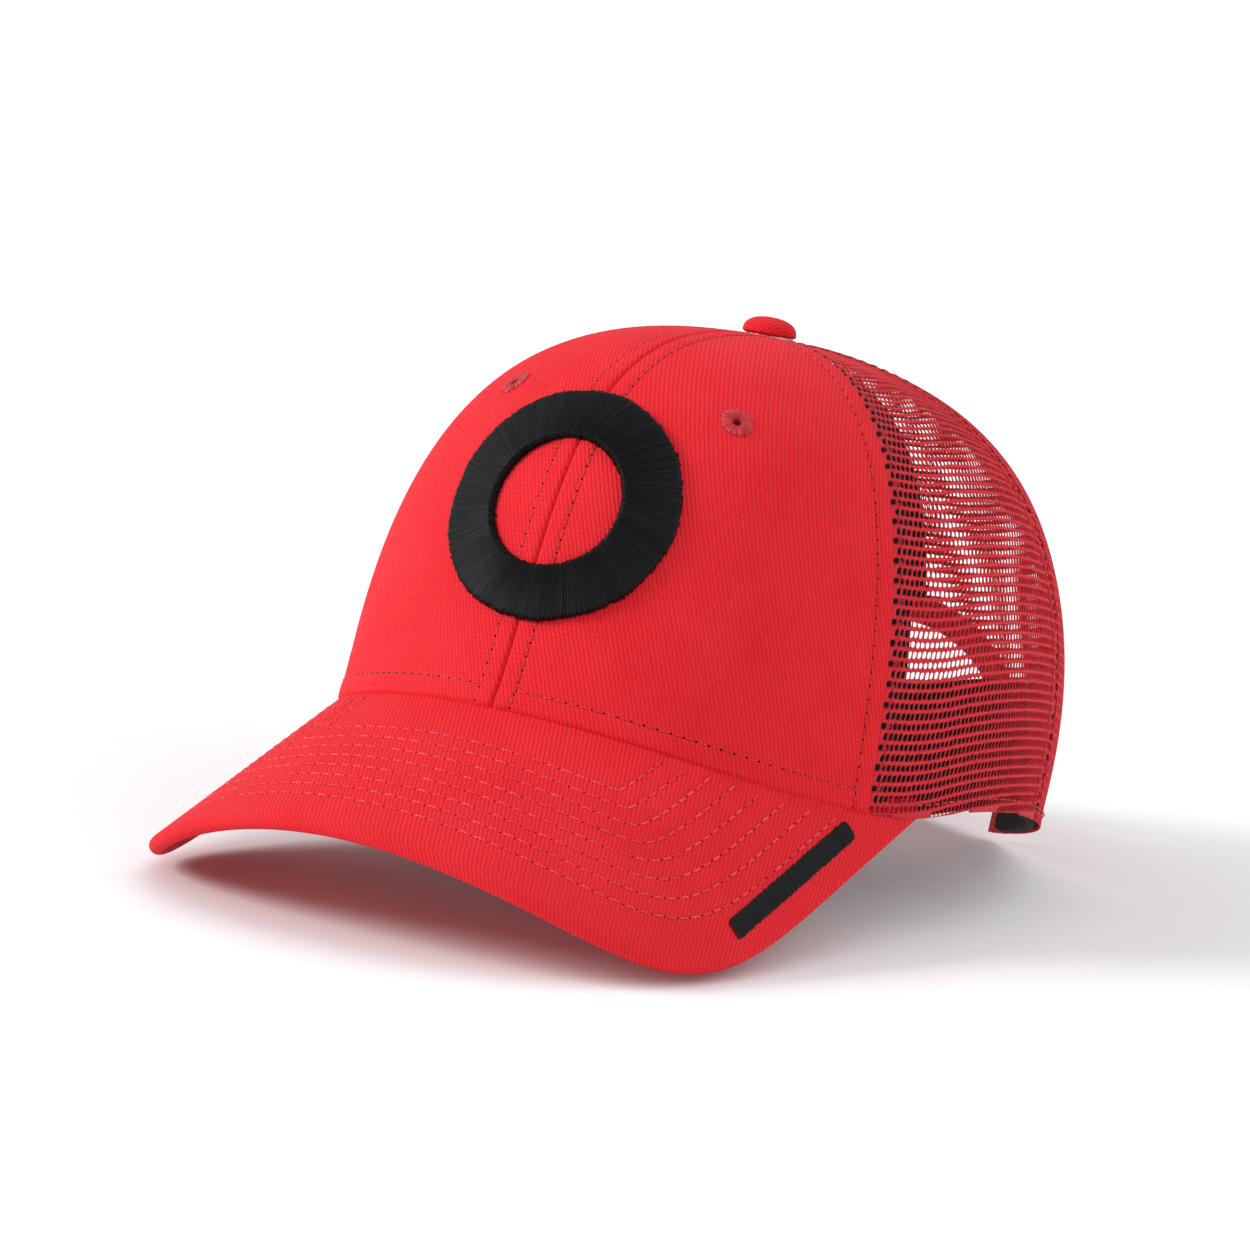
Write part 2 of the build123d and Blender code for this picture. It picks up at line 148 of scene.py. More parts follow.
def rim_height(phi):
    turn = np.abs((np.asarray(phi, float) + 180) % 360 - 180)

    def on_brim(angle):
        radius = plan_radius(angle)
        return brim_top(radius * np.sin(np.radians(angle)), -radius * np.cos(np.radians(angle)))

    start = on_brim(CONTACT_ANGLE)
    slope = start - on_brim(CONTACT_ANGLE - 1)
    span = 180 - CONTACT_ANGLE
    t = ramp((turn - CONTACT_ANGLE) / span)
    first = 2 * t**3 - 3 * t**2 + 1
    rear = start * first + slope * span * (t**3 - 2 * t**2 + t) + BACK_RIM * (1 - first)
    return np.where(turn <= CONTACT_ANGLE, on_brim(np.minimum(turn, CONTACT_ANGLE)), rear)


def meridian(phi, t):
    """Radius and height of the wall's outer face, with t from 0 at the button to 1 at the rim."""
    radius, rim = plan_radius(phi), rim_height(phi)
    shoulder = share(SHOULDER_REACH, phi) * radius
    waist = radius + share(SHOULDER_OVERHANG, phi)
    level = rim + share(SHOULDER_LEVEL, phi) * (TOP - rim)
    b = ((1 - t) ** 3, 3 * t * (1 - t) ** 2, 3 * t**2 * (1 - t), t**3)
    return (
        b[0] * BUTTON_HOLE + b[1] * shoulder + b[2] * waist + b[3] * radius,
        (b[0] + b[1]) * TOP + b[2] * level + b[3] * rim,
    )


def look_up(table, row, col):
    """Bilinear reading of a table at fractional places."""
    row = np.clip(row, 0, table.shape[0] - 1.001)
    col = np.clip(col, 0, table.shape[1] - 1.001)
    i, j = row.astype(int), col.astype(int)
    a, b = row - i, col - j
    near = table[i, j] * (1 - b) + table[i, j + 1] * b
    far = table[i + 1, j] * (1 - b) + table[i + 1, j + 1] * b
    return near * (1 - a) + far * a


PHI_STEP, RISE_STEP, RISE_MAX = 0.5, 0.5, 192.0
phi_grid = np.arange(-200, 200 + PHI_STEP, PHI_STEP)
t_grid = np.linspace(0, 1, 400)
radius_grid, height_grid = meridian(phi_grid[:, None], t_grid[None, :])
step_grid = np.hypot(np.diff(radius_grid, axis=1), np.diff(height_grid, axis=1))
climb = np.cumsum(step_grid[:, ::-1], axis=1)[:, ::-1]
climb = np.concatenate([climb, np.zeros((len(phi_grid), 1))], axis=1)
rise_grid = np.arange(0, RISE_MAX, RISE_STEP)
t_table = np.array([np.interp(rise_grid, row[::-1], t_grid[::-1]) for row in climb])


def wall_length(phi):
    """Length of the wall from rim to button, along its meridian."""
    return np.interp(phi, phi_grid, climb[:, 0])


def skin(phi, rise):
    phi, rise = np.broadcast_arrays(np.asarray(phi, float), np.asarray(rise, float))
    t = look_up(t_table, (phi - phi_grid[0]) / PHI_STEP, rise / RISE_STEP)
    radius, height = meridian(phi, t)
    turn = np.radians(phi)
    return np.stack([radius * np.sin(turn), -radius * np.cos(turn), height], -1)


def skin_normal(phi, rise):
    phi, rise = np.broadcast_arrays(np.asarray(phi, float), np.asarray(rise, float))
    rise = np.minimum(rise, wall_length(phi) - 1.0)
    low = np.maximum(rise - 0.4, 0)
    across = skin(phi + 0.3, rise) - skin(phi - 0.3, rise)
    up = skin(phi, low + 0.8) - skin(phi, low)
    return unit(np.cross(across, up))


def wall(phi, rise, out=0.0):
    """Points a distance out from the wall's outer face, in the crown's frame."""
    return skin(phi, rise) + skin_normal(phi, rise) * np.asarray(out, float)[..., None]


# ---- Standing the cap up ---------------------------------------------------------------------------

def tip(points):
    c, s = math.cos(STAND_TILT), math.sin(STAND_TILT)
    x, y, z = np.moveaxis(np.asarray(points, float), -1, 0)
    return np.stack([x, y * c + z * s, -y * s + z * c], -1)


def strap_angle(x):
    """Angle from the back at which the wall is a distance x aside."""
    return np.degrees(np.arcsin(x / plan_radius(180 - x / 1.75)))


ROOT_TURN = float(strap_angle(STRAP_ROOT))
root_joint = next(j for j in frame["joints"] if j["child"] == "hole_strap")
root_point = wall(180 - ROOT_TURN, STRAP_BOTTOM + STRAP_HEIGHT / 2, -STRAP_DEPTH - STRAP_THICK / 2)
stand_shift = np.array(root_joint["pos_m"]) / MM - tip(root_point)
stand_shift[0] = 0.0


def stand(points):
    """From the crown's frame in millimetres to the row frame in metres."""
    return (tip(points) + stand_shift) * MM


# ---- Mesh helpers ----------------------------------------------------------------------------------

def mesh_piece(name, points, faces, material, cloth=None, body="cap", replaces=(), slot=None):
    """A piece from points in the crown's frame and faces of one size. cloth gives each point its place on
    the cloth, in millimetres, which the woven materials read."""
    mesh = bpy.data.meshes.new(name)
    size = np.shape(faces)[1]
    used, faces = np.unique(np.asarray(faces, np.int32).ravel(), return_inverse=True)
    faces = faces.reshape(-1, size)
    points = np.asarray(points, float).reshape(-1, 3)[used]
    count = len(faces)
    mesh.vertices.add(len(points))
    mesh.vertices.foreach_set("co", stand(points).astype(np.float32).ravel())
    mesh.loops.add(count * size)
    mesh.loops.foreach_set("vertex_index", faces.astype(np.int32).ravel())
    mesh.polygons.add(count)
    mesh.polygons.foreach_set("loop_start", np.arange(0, count * size, size, dtype=np.int32))
    mesh.polygons.foreach_set("use_smooth", np.ones(count, bool))
    mesh.update(calc_edges=True)
    if cloth is not None:
        attribute = mesh.attributes.new("cloth", "FLOAT_VECTOR", "POINT")
        cloth = np.asarray(cloth, float)
        cloth = cloth.reshape(-1, cloth.shape[-1])[used]
        place = np.zeros((len(points), 3), np.float32)
        place[:, : cloth.shape[-1]] = cloth
        attribute.data.foreach_set("vector", place.ravel())
    mesh.validate()
    mesh.materials.append(material)
    piece = bpy.data.objects.new(name, mesh)
    bpy.context.scene.collection.objects.link(piece)
    return dress(piece, body, replaces)


def dress(piece, body, replaces=()):
    if body:
        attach(piece, body)
    if replaces:
        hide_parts(*replaces)
    return piece


def grid_faces(rows, cols, closed=False, start=0):
    """Quads of a rows by cols grid of points. closed joins the last column to the first."""
    i, j = np.meshgrid(np.arange(rows - 1), np.arange(cols if closed else cols - 1), indexing="ij")
    k = (j + 1) % cols
    quads = np.stack([i * cols + j, i * cols + k, (i + 1) * cols + k, (i + 1) * cols + j], -1)
    return quads.reshape(-1, 4) + start


class Batch:
    """Gathers points, faces and cloth places of one piece."""

    def __init__(self):
        self.points, self.faces, self.cloth, self.count = [], [], [], 0

    def add(self, points, faces, cloth=None):
        points = np.asarray(points, float).reshape(-1, 3)
        self.faces.append(np.asarray(faces) + self.count)
        self.points.append(points)
        place = np.zeros((len(points), 3))
        if cloth is not None:
            cloth = np.asarray(cloth, float)
            cloth = cloth.reshape(-1, cloth.shape[-1])
            place[:, : cloth.shape[-1]] = cloth
        self.cloth.append(place)
        self.count += len(points)

    def piece(self, name, material, **how):
        points, faces = np.concatenate(self.points), np.concatenate(self.faces)
        return mesh_piece(name, points, faces, material, np.concatenate(self.cloth), **how)


def both_sides(build):
    """Runs a builder for the wearer's left and right."""
    for side, sign in (("left", 1), ("right", -1)):
        build(side, sign)


def flip(faces, sign):
    return faces if sign > 0 else np.asarray(faces)[:, ::-1]


def mirror_x(points, sign):
    return np.asarray(points) * (sign, 1, 1)


def swept_faces(rows, cols, turned=1):
    """Faces of a closed section carried along a line: the grid, the join of its last row to its first, and
    its two flat ends."""
    k = np.arange(cols - 1)
    join = np.stack([k + (rows - 1) * cols, k + 1 + (rows - 1) * cols, k + 1, k], -1)
    sides = flip(np.concatenate([grid_faces(rows, cols), join]), turned)
    a = np.arange(rows // 2 - 1)
    ends = [flip(np.stack([a, a + 1, rows - a - 2, rows - a - 1], -1) * cols + column, sign)
            for column, sign in ((0, 1), (cols - 1, -1))]
    return np.concatenate([sides, *ends])


def outline_edges(faces, below=math.inf):
    """Directed edges that only one face uses, among the points numbered below a limit."""
    size = faces.shape[1]
    edges = np.concatenate([faces[:, [a, (a + 1) % size]] for a in range(size)])
    edges = edges[(edges[:, 0] < below) & (edges[:, 1] < below) & (edges[:, 0] != edges[:, 1])]
    _, first, counts = np.unique(np.sort(edges, axis=1), axis=0, return_index=True, return_counts=True)
    return edges[first[counts == 1]]


# ---- Threads ---------------------------------------------------------------------------------------

TUBE_SIDES, TUBE_FLATNESS = 6, 0.8
STITCH_POINTS = 7
HOLE_SIDES = 6


def add_tubes(batch, paths, normals, radius):
    """Tapered tubes along paths (tube, point, xyz), flattened against the surface they lie on."""
    paths, normals = np.asarray(paths, float), unit(np.asarray(normals, float))
    count, steps = paths.shape[:2]
    tangent = unit(np.gradient(paths, axis=1))
    side = unit(np.cross(tangent, normals))
    lift = np.cross(side, tangent) * TUBE_FLATNESS
    ends = np.clip(np.minimum(np.arange(steps), np.arange(steps)[::-1]) / 1.2, 0.25, 1)
    turn = np.arange(TUBE_SIDES) * 2 * np.pi / TUBE_SIDES
    ring = side[:, :, None] * np.cos(turn)[:, None] + lift[:, :, None] * np.sin(turn)[:, None]
    points = paths[:, :, None] + ring * (radius * ends)[:, None, None]
    cap = np.array([[0, 1, 2, 3], [0, 3, 4, 5]])
    quads = np.concatenate([grid_faces(steps, TUBE_SIDES, closed=True)[:, ::-1], cap[:, ::-1],
                            cap + (steps - 1) * TUBE_SIDES])
    faces = (quads[None] + (np.arange(count) * steps * TUBE_SIDES)[:, None, None]).reshape(-1, 4)
    gaps = np.linalg.norm(np.diff(paths, axis=1), axis=2)
    place = np.zeros((count, steps, TUBE_SIDES, 3))
    place[:, 1:, :, 0] = np.cumsum(gaps, 1)[:, :, None]
    place[..., 1] = turn / (2 * np.pi)
    place[..., 2] = chance.random((count, 1, 1))
    batch.add(points, faces, place)


def add_stitches(threads, points, normals, pitch, gap, radius, proud, holes=None, hole=0.3):
    """A row of stitches along a line on a surface, and the needle holes between them."""
    length = length_of(points)
    count = max(1, int(length / pitch))
    pitch = length / count
    starts = np.arange(count) * pitch + chance.normal(0, 0.03 * pitch, count)
    share_along = np.linspace(0, 1, STITCH_POINTS)
    places = (starts[:, None] + gap / 2 + (pitch - gap) * share_along).ravel()
    shape = (count, STITCH_POINTS, 3)
    spots = along(points, places).reshape(shape)
    up = unit(along(points, places, normals).reshape(shape))
    sunk = 0.3 * radius
    lift = (proud + sunk) * np.sin(np.pi * share_along) ** 0.6 - sunk
    add_tubes(threads, spots + up * lift[:, None], up, radius)
    if holes is not None:
        where = starts + pitch * 0.02
        facing = unit(along(points, where, normals))
        add_discs(holes, along(points, where) + facing * 0.03, facing, hole)


def add_discs(batch, centres, normals, radius):
    """Needle holes: small dark hexagons on the cloth, painted shade that stands in for the shade inside each
    hole, their middle a hair proud of their edge.
    """
    helper = np.where(np.abs(normals[:, 2:3]) < 0.9, [[0, 0, 1]], [[1, 0, 0]])
    a = unit(np.cross(normals, helper))
    b = np.cross(normals, a)
    turn = np.arange(HOLE_SIDES) * 2 * np.pi / HOLE_SIDES
    spread = a[:, None] * np.cos(turn)[:, None] + b[:, None] * np.sin(turn)[:, None]
    ring = centres[:, None] + radius * spread
    points = np.concatenate([centres[:, None] + normals[:, None] * 0.015, ring], 1)
    quads = np.array([[0, 1, 2, 3], [0, 3, 4, 5], [0, 5, 6, 1]])
    first = np.arange(len(centres)) * (HOLE_SIDES + 1)
    batch.add(points, (quads[None] + first[:, None, None]).reshape(-1, 4))


# ---- Materials -------------------------------------------------------------------------------------

class Graph:
    """A material's nodes, with arithmetic on sockets."""

    def __init__(self, name):
        self.material = bpy.data.materials.new(name)
        self.material.use_nodes = True
        self.tree = self.material.node_tree
        self.shader = self.tree.nodes["Principled BSDF"]

    def node(self, kind, **settings):
        made = self.tree.nodes.new(kind)
        for key, value in settings.items():
            setattr(made, key, value)
        return made

    def put(self, socket, value):
        if isinstance(value, bpy.types.NodeSocket):
            self.tree.links.new(value, socket)
        else:
            socket.default_value = value

    def math(self, operation, *values):
        made = self.node("ShaderNodeMath", operation=operation)
        for socket, value in zip(made.inputs, values):
            self.put(socket, value)
        return made.outputs[0]

    def add(self, a, b):
        return self.math("ADD", a, b)

    def times(self, a, b):
        return self.math("MULTIPLY", a, b)

    def wave(self, place, period, phase=0.0):
        """A sine between 0 and 1 over a length."""
        angle = self.add(self.times(place, 2 * math.pi / period), phase)
        return self.add(self.times(self.math("SINE", angle), 0.5), 0.5)

    def cloth(self):
        """The point's place on its cloth: across, along and a third value."""
        place = self.node("ShaderNodeAttribute", attribute_name="cloth")
        parts = self.node("ShaderNodeSeparateXYZ")
        self.put(parts.inputs[0], place.outputs["Vector"])
        return place.outputs["Vector"], parts.outputs[0], parts.outputs[1], parts.outputs[2]

    def object_place(self):
        return self.node("ShaderNodeTexCoord").outputs["Object"]

    def noise(self, place, scale, detail=3.0, rough=0.55):
        made = self.node("ShaderNodeTexNoise")
        self.put(made.inputs["Vector"], place)
        made.inputs["Scale"].default_value = scale
        made.inputs["Detail"].default_value = detail
        made.inputs["Roughness"].default_value = rough
        return made.outputs["Fac"]

    def mix(self, factor, first, second):
        made = self.node("ShaderNodeMix", data_type="RGBA")
        self.put(made.inputs[0], factor)
        self.put(made.inputs[6], first)
        self.put(made.inputs[7], second)
        return made.outputs[2]

    def span(self, value, low, high, to_low=0.0, to_high=1.0):
        made = self.node("ShaderNodeMapRange")
        for socket, v in zip(made.inputs, (value, low, high, to_low, to_high)):
            self.put(socket, v)
        return made.outputs[0]

    def bump(self, height, distance, strength=1.0, normal=None):
        made = self.node("ShaderNodeBump")
        made.inputs["Strength"].default_value = strength
        made.inputs["Distance"].default_value = distance
        self.put(made.inputs["Height"], height)
        if normal is not None:
            self.put(made.inputs["Normal"], normal)
        return made.outputs[0]

    def finish(self, color, roughness, normal=None, **uniform):
        self.put(self.shader.inputs["Base Color"], color)
        self.put(self.shader.inputs["Roughness"], roughness)
        if normal is not None:
            self.put(self.shader.inputs["Normal"], normal)
        for key, value in uniform.items():
            self.shader.inputs[key.replace("_", " ")].default_value = value
        return self.material


def rgb(red, green, blue):
    """An sRGB colour, 0 to 255, as linear RGBA."""
    values = [c / 255 for c in (red, green, blue)]
    return (*[v / 12.92 if v <= 0.04045 else ((v + 0.055) / 1.055) ** 2.4 for v in values], 1.0)


RED_DEEP, RED, RED_PALE = rgb(150, 6, 16), rgb(222, 17, 30), rgb(242, 44, 54)


def twill_material(name, deep, body, pale, rib=1.0, lean=25.0, sheen=0.14):
    """Steep twill: slanting ribs, broken into floats, with grooves between them, painted a deeper colour as
    shade.
    """
    g = Graph(name)
    place, u, v, _ = g.cloth()
    c, s = math.cos(math.radians(lean)), math.sin(math.radians(lean))
    wander = g.times(g.add(g.noise(place, 0.8), -0.5), 0.7)
    across = g.add(g.add(g.times(u, c), g.times(v, s)), wander)
    length = g.add(g.times(u, -s), g.times(v, c))
    ribs = g.math("POWER", g.wave(across, rib), 0.7)
    floats = g.wave(g.add(length, g.times(across, 1.7)), 1.25 * rib)
    fuzz = g.noise(place, 3.2, 4.0, 0.7)
    height = g.add(g.add(ribs, g.times(floats, 0.4)), g.times(fuzz, 0.6))
    shade = g.noise(place, 0.05, 2.0)
    lit = g.mix(g.span(g.add(g.times(fuzz, 0.7), g.times(shade, 0.3)), 0.35, 0.7), body, pale)
    # painted shade: the deep colour fills the grooves between ribs and floats, where shade falls; the fuzz
    # adds random tone
    groove_shade_and_fuzz = g.add(g.add(ribs, g.times(floats, 0.3)), g.times(g.add(fuzz, -0.5), 1.2))
    color = g.mix(g.span(groove_shade_and_fuzz, 0.0, 0.8, 0.4, 1.0), deep, lit)
    rough = g.span(fuzz, 0.2, 0.8, 0.72, 0.9)
    return g.finish(color, rough, g.bump(height, 0.00015, 0.8), Sheen_Weight=sheen, Sheen_Roughness=0.45,
                    Sheen_Tint=pale, Specular_IOR_Level=0.25)


def mesh_material(name):
    """Knitted mesh: shiny yarns that cross the bands between the holes on the slant."""
    g = Graph(name)
    place, u, v, _ = g.cloth()
    one = g.wave(g.add(u, v), 0.62)
    other = g.wave(g.add(u, g.times(v, -1.0)), 0.62)
    height = g.math("MAXIMUM", one, g.times(other, 0.8))
    fuzz = g.noise(place, 4.0, 3.0, 0.7)
    # painted shade: the yarn is deeper red in the troughs between its slanting ridges and brighter on their
    # crests
    color = g.mix(g.span(g.add(height, g.times(fuzz, 0.5)), 0.5, 1.1), rgb(160, 6, 20), rgb(255, 50, 64))
    return g.finish(color, g.span(fuzz, 0.2, 0.8, 0.5, 0.66), g.bump(height, 0.0002, 0.8),
                    Sheen_Weight=0.05, Sheen_Roughness=0.4, Specular_IOR_Level=0.25)


def thread_material(name, deep, pale, twist=0.9, rough=0.5, sheen=0.1):
    """Twisted thread: slanting plies along a tube."""
    g = Graph(name)
    _, run, around, own = g.cloth()
    ply = g.wave(g.add(run, g.times(around, twist)), twist)
    lit = g.mix(own, pale, deep)
    # painted shade: deeper colour in the grooves between the plies
    color = g.mix(g.span(ply, 0.0, 0.7), deep, lit)
    return g.finish(color, g.span(ply, 0, 1, rough + 0.12, rough), g.bump(ply, 0.00008, 0.5),
                    Sheen_Weight=sheen, Specular_IOR_Level=0.45)


def satin_material(name, deep, pale, shine):
    """Satin stitch: fine filaments along each thread, which the mesh carries as ridges."""
    g = Graph(name)
    place, run, _, own = g.cloth()
    filament = g.wave(run, 0.13)
    grain = g.noise(place, 2.5, 3.0, 0.65)
    # painted highlight: pale speckle over the deep thread, by grain and by thread
    lit = g.mix(g.span(g.add(grain, g.times(own, 0.4)), 0.5, 1.0), deep, pale)
    # painted shade: deep colour between the filaments
    color = g.mix(g.span(filament, 0.0, 0.8), deep, lit)
    return g.finish(color, g.span(grain, 0.2, 0.8, 0.3, 0.6), g.bump(g.add(filament, grain), 0.0001, 0.6),
                    Sheen_Weight=0.02, Sheen_Roughness=0.35, Specular_IOR_Level=shine)


def weave_material(name, deep, pale, pitch, rough=0.8, depth=0.00012, object_scale=None):
    """Plain weave. Pieces with no cloth places read their own coordinates, in millimetres."""
    g = Graph(name)
    if object_scale:
        scaled = g.node("ShaderNodeVectorMath", operation="SCALE")
        g.put(scaled.inputs[0], g.object_place())
        scaled.inputs["Scale"].default_value = object_scale
        parts = g.node("ShaderNodeSeparateXYZ")
        g.put(parts.inputs[0], scaled.outputs[0])
        place, u, v = scaled.outputs[0], g.add(parts.outputs[0], parts.outputs[1]), parts.outputs[2]
    else:
        place, u, v, _ = g.cloth()
    warp, weft = g.wave(u, pitch), g.wave(v, pitch)
    height = g.math("MAXIMUM", g.times(warp, g.wave(v, 2 * pitch)), g.times(weft, g.wave(u, 2 * pitch)))
    fuzz = g.noise(place, 2.0, 4.0, 0.7)
    # painted shade: deeper colour where the weave lies low, between its crossings
    color = g.mix(g.span(g.add(height, g.times(fuzz, 0.6)), 0.2, 1.2), deep, pale)
    return g.finish(color, g.span(fuzz, 0.2, 0.8, rough - 0.08, rough + 0.08), g.bump(height, depth, 0.8),
                    Sheen_Weight=0.15, Specular_IOR_Level=0.3)


def plastic_material(name, body, pale):
    """Moulded strap plastic: a fine even grain, with faint flow marks."""
    g = Graph(name)
    place = g.object_place()
    grain = g.noise(place, 2600.0, 2.0, 0.5)
    flow = g.noise(place, 60.0, 3.0, 0.6)
    color = g.mix(g.span(flow, 0.3, 0.7), body, pale)
    return g.finish(color, g.span(flow, 0.3, 0.7, 0.38, 0.5), g.bump(grain, 0.00003, 0.35),
                    Subsurface_Weight=0.08, Subsurface_Scale=0.002, Specular_IOR_Level=0.5)


def metal_material(name):
    g = Graph(name)
    place = g.object_place()
    wear = g.noise(place, 900.0, 4.0, 0.6)
    color = g.mix(g.span(wear, 0.3, 0.7), rgb(150, 150, 154), rgb(196, 196, 200))
    return g.finish(color, g.span(wear, 0.3, 0.7, 0.28, 0.45), g.bump(wear, 0.00004, 0.3), Metallic=1.0)


# painted shade: near-black discs stand in for the shade inside the needle holes
def hole_shade_material(name):
    g = Graph(name)
    dark = g.noise(g.object_place(), 3000.0)
    return g.finish(g.mix(dark, rgb(24, 2, 4), rgb(60, 6, 10)), 0.95, Specular_IOR_Level=0.0)


TWILL_CLOTH = twill_material("red_twill", RED_DEEP, RED, RED_PALE)
MESH_YARN = mesh_material("red_mesh")
PALE_THREAD = thread_material("pale_thread", rgb(206, 26, 38), rgb(250, 88, 96))
RED_THREAD = thread_material("red_thread", rgb(164, 14, 24), rgb(226, 50, 58))
BLACK_THREAD = thread_material("black_stitch", rgb(14, 14, 16), rgb(48, 48, 52))
BLACK_SATIN = satin_material("black_satin", rgb(2, 2, 3), rgb(38, 38, 42), 0.22)
RED_SATIN = satin_material("red_satin", rgb(186, 20, 34), rgb(255, 96, 104), 0.35)
BAND_CLOTH = twill_material("black_band", rgb(6, 6, 7), rgb(20, 20, 22), rgb(34, 34, 37), rib=0.8, sheen=0.1)
TAPE_CLOTH = weave_material("black_tape", rgb(6, 6, 7), rgb(30, 30, 33), 0.7, object_scale=1000.0)
BUCKRAM = weave_material("black_buckram", rgb(4, 4, 5), rgb(34, 34, 37), 1.3, depth=0.0003,
                         object_scale=1000.0)
BINDING_CLOTH = weave_material("red_binding", RED_DEEP, rgb(226, 44, 54), 0.8)
LABEL_CLOTH = weave_material("label_cloth", rgb(190, 188, 182), rgb(232, 230, 225), 0.4)
STRAP_PLASTIC = plastic_material("red_plastic", rgb(196, 22, 34), rgb(214, 34, 46))
METAL = metal_material("button_metal")
NEEDLE_HOLE_SHADE = hole_shade_material("needle_hole")


# ---- Gores: flat cloth places on the wall ----------------------------------------------------------

class Gore:
    """A stretch of the wall between two angles. u is measured along the wall from the zero angle at a
    constant rise above the rim."""

    def __init__(self, start, end, zero):
        self.rises = np.arange(0, RISE_MAX - 5, 1.0)
        phis = np.linspace(start, end, 81)
        grid = skin(phis[None, :], self.rises[:, None])
        steps = np.linalg.norm(np.diff(grid, axis=1), axis=2)
        run = np.concatenate([np.zeros((len(self.rises), 1)), np.cumsum(steps, axis=1)], axis=1)
        middle = np.array([np.interp(zero, phis, row) for row in run])
        self.low, self.high = -middle, run[:, -1] - middle
        shares = np.linspace(0, 1, 81)
        self.table = np.array([np.interp(shares, row / max(row[-1], 1e-6), phis) for row in run])

    def bounds(self, rise):
        return np.interp(rise, self.rises, self.low), np.interp(rise, self.rises, self.high)

    def phi(self, u, rise):
        low, high = self.bounds(rise)
        across = ramp((u - low) / np.maximum(high - low, 1e-6))
        return look_up(self.table, np.asarray(rise, float), across * 80)


front_gore = Gore(0, FRONT_SEAM, 0)
side_gore = Gore(FRONT_SEAM, REAR_SEAM, FRONT_SEAM)
back_gore = Gore(REAR_SEAM, 180, 180)

SEAM_STITCH, SIDE_STITCH, BRIM_STITCH = 4.6, 5.0, 5.2
EYELET_CUT = 1.9


def seam_relief(distance, stitch):
    """How a panel rises and dips beside a seam whose allowance is stitched down."""
    groove = -0.55 * bell(distance, 0.4)
    ridge = 0.28 * ramp(distance / 1.2) * (1 / (1 + np.exp((distance - stitch) / 0.35)))
    dip = -0.16 * bell(distance - stitch, 0.55)
    return groove + ridge + dip


def front_relief(u, rise, phi):
    _, high = front_gore.bounds(rise)
    out = seam_relief(u, SEAM_STITCH) + seam_relief(high - u, SIDE_STITCH) + seam_relief(rise, BRIM_STITCH)
    slow = 0.18 * np.sin(u / 17 + rise / 29) * np.sin(rise / 23 + 1.3) * ramp(u / 12)
    fade = ramp((wall_length(phi) - rise) / 8)
    return out * fade + slow * fade


def build_front(side, sign):
    """A front panel of twill, with a hole where its eyelet goes."""
    # Columns crowd towards the seams, and rows towards the brim.
    share_across = np.linspace(0, 1, 111)
    share_across = share_across - 0.11 * np.sin(2 * np.pi * share_across)
    share_up = np.linspace(0, 1, 161)
    share_up = share_up - 0.105 * np.sin(np.pi * share_up) * (1 - share_up) ** 1.5 * 1.2
    across, up = np.meshgrid(share_across, share_up)
    rise, u = np.zeros_like(up), np.zeros_like(up)
    phi = across * FRONT_SEAM
    for _ in range(4):
        rise = up * wall_length(phi)
        _, high = front_gore.bounds(rise)
        u = across * high
        phi = front_gore.phi(u, rise)
    out = front_relief(u, rise, phi)
    outer = wall(phi, rise, out)
    inner = wall(phi, rise, np.minimum(out, 0) * 0.3 - TWILL)
    rows, cols = phi.shape
    faces = grid_faces(rows, cols)
    eye = skin(EYELET_ANGLE, EYELET_RISE)
    middle = outer.reshape(-1, 3)[faces].mean(1)
    keep = np.linalg.norm(middle - eye, axis=1) > EYELET_CUT
    faces = faces[keep]
    count = rows * cols
    rim = np.concatenate([np.arange(cols), np.arange(1, rows) * cols + cols - 1,
                          (rows - 1) * cols + np.arange(cols - 2, -1, -1), np.arange(rows - 2, 0, -1) * cols])
    after = np.roll(rim, -1)
    wall_quads = np.stack([after, rim, rim + count, after + count], -1)
    all_faces = np.concatenate([faces, faces[:, ::-1] + count, wall_quads])
    points = np.concatenate([outer.reshape(-1, 3), inner.reshape(-1, 3)])
    place = np.stack([u * sign, rise], -1).reshape(-1, 2)
    mesh_piece(f"front_panel_cloth_{side}", mirror_x(points, sign), flip(all_faces, sign), TWILL_CLOTH,
               np.concatenate([place, place]), replaces=[f"front_panel_{side}"], slot="twill")


both_sides(build_front)


# ---- Mesh panels -----------------------------------------------------------------------------------

PITCH_U, PITCH_V = 1.55, 2.45
YARN = 0.42
MESH_REACH = 187.0
LEAST_WIDTH, LEAST_HEIGHT, LEAST_HOLED = 0.2, 0.25, 0.72


def mesh_relief(u, rise, gore, phi):
    low, high = gore.bounds(rise)
    edge = np.minimum(u - low, high - u)
    groove = -0.7 * bell(edge, 0.8)
    slow = 0.35 * np.sin(phi / 9.0 + rise / 31) * np.sin(rise / 19 + phi / 23)
    fade = ramp(edge / 10) * ramp((wall_length(phi) - rise) / 12) * ramp(rise / 8)
    hem = 0.25 * np.exp(-((rise / 3.0) ** 4))
    return groove + slow * fade + hem


def weave_place(gore, u, v, lean, squeeze):
    """Angle and rise of a place on the mesh's own weave, whose rows lean against the rim."""
    rise = np.clip(v, 0, None)
    for _ in range(5):
        low, high = gore.bounds(rise)
        across = ramp((u - low) / np.maximum(high - low, 1e-6))
        rise = np.clip((v + lean * across) / (1 + squeeze * across), 0, None)
    u = np.clip(u, low, high)
    phi = gore.phi(u, rise)
    return u, np.minimum(rise, wall_length(phi)), phi


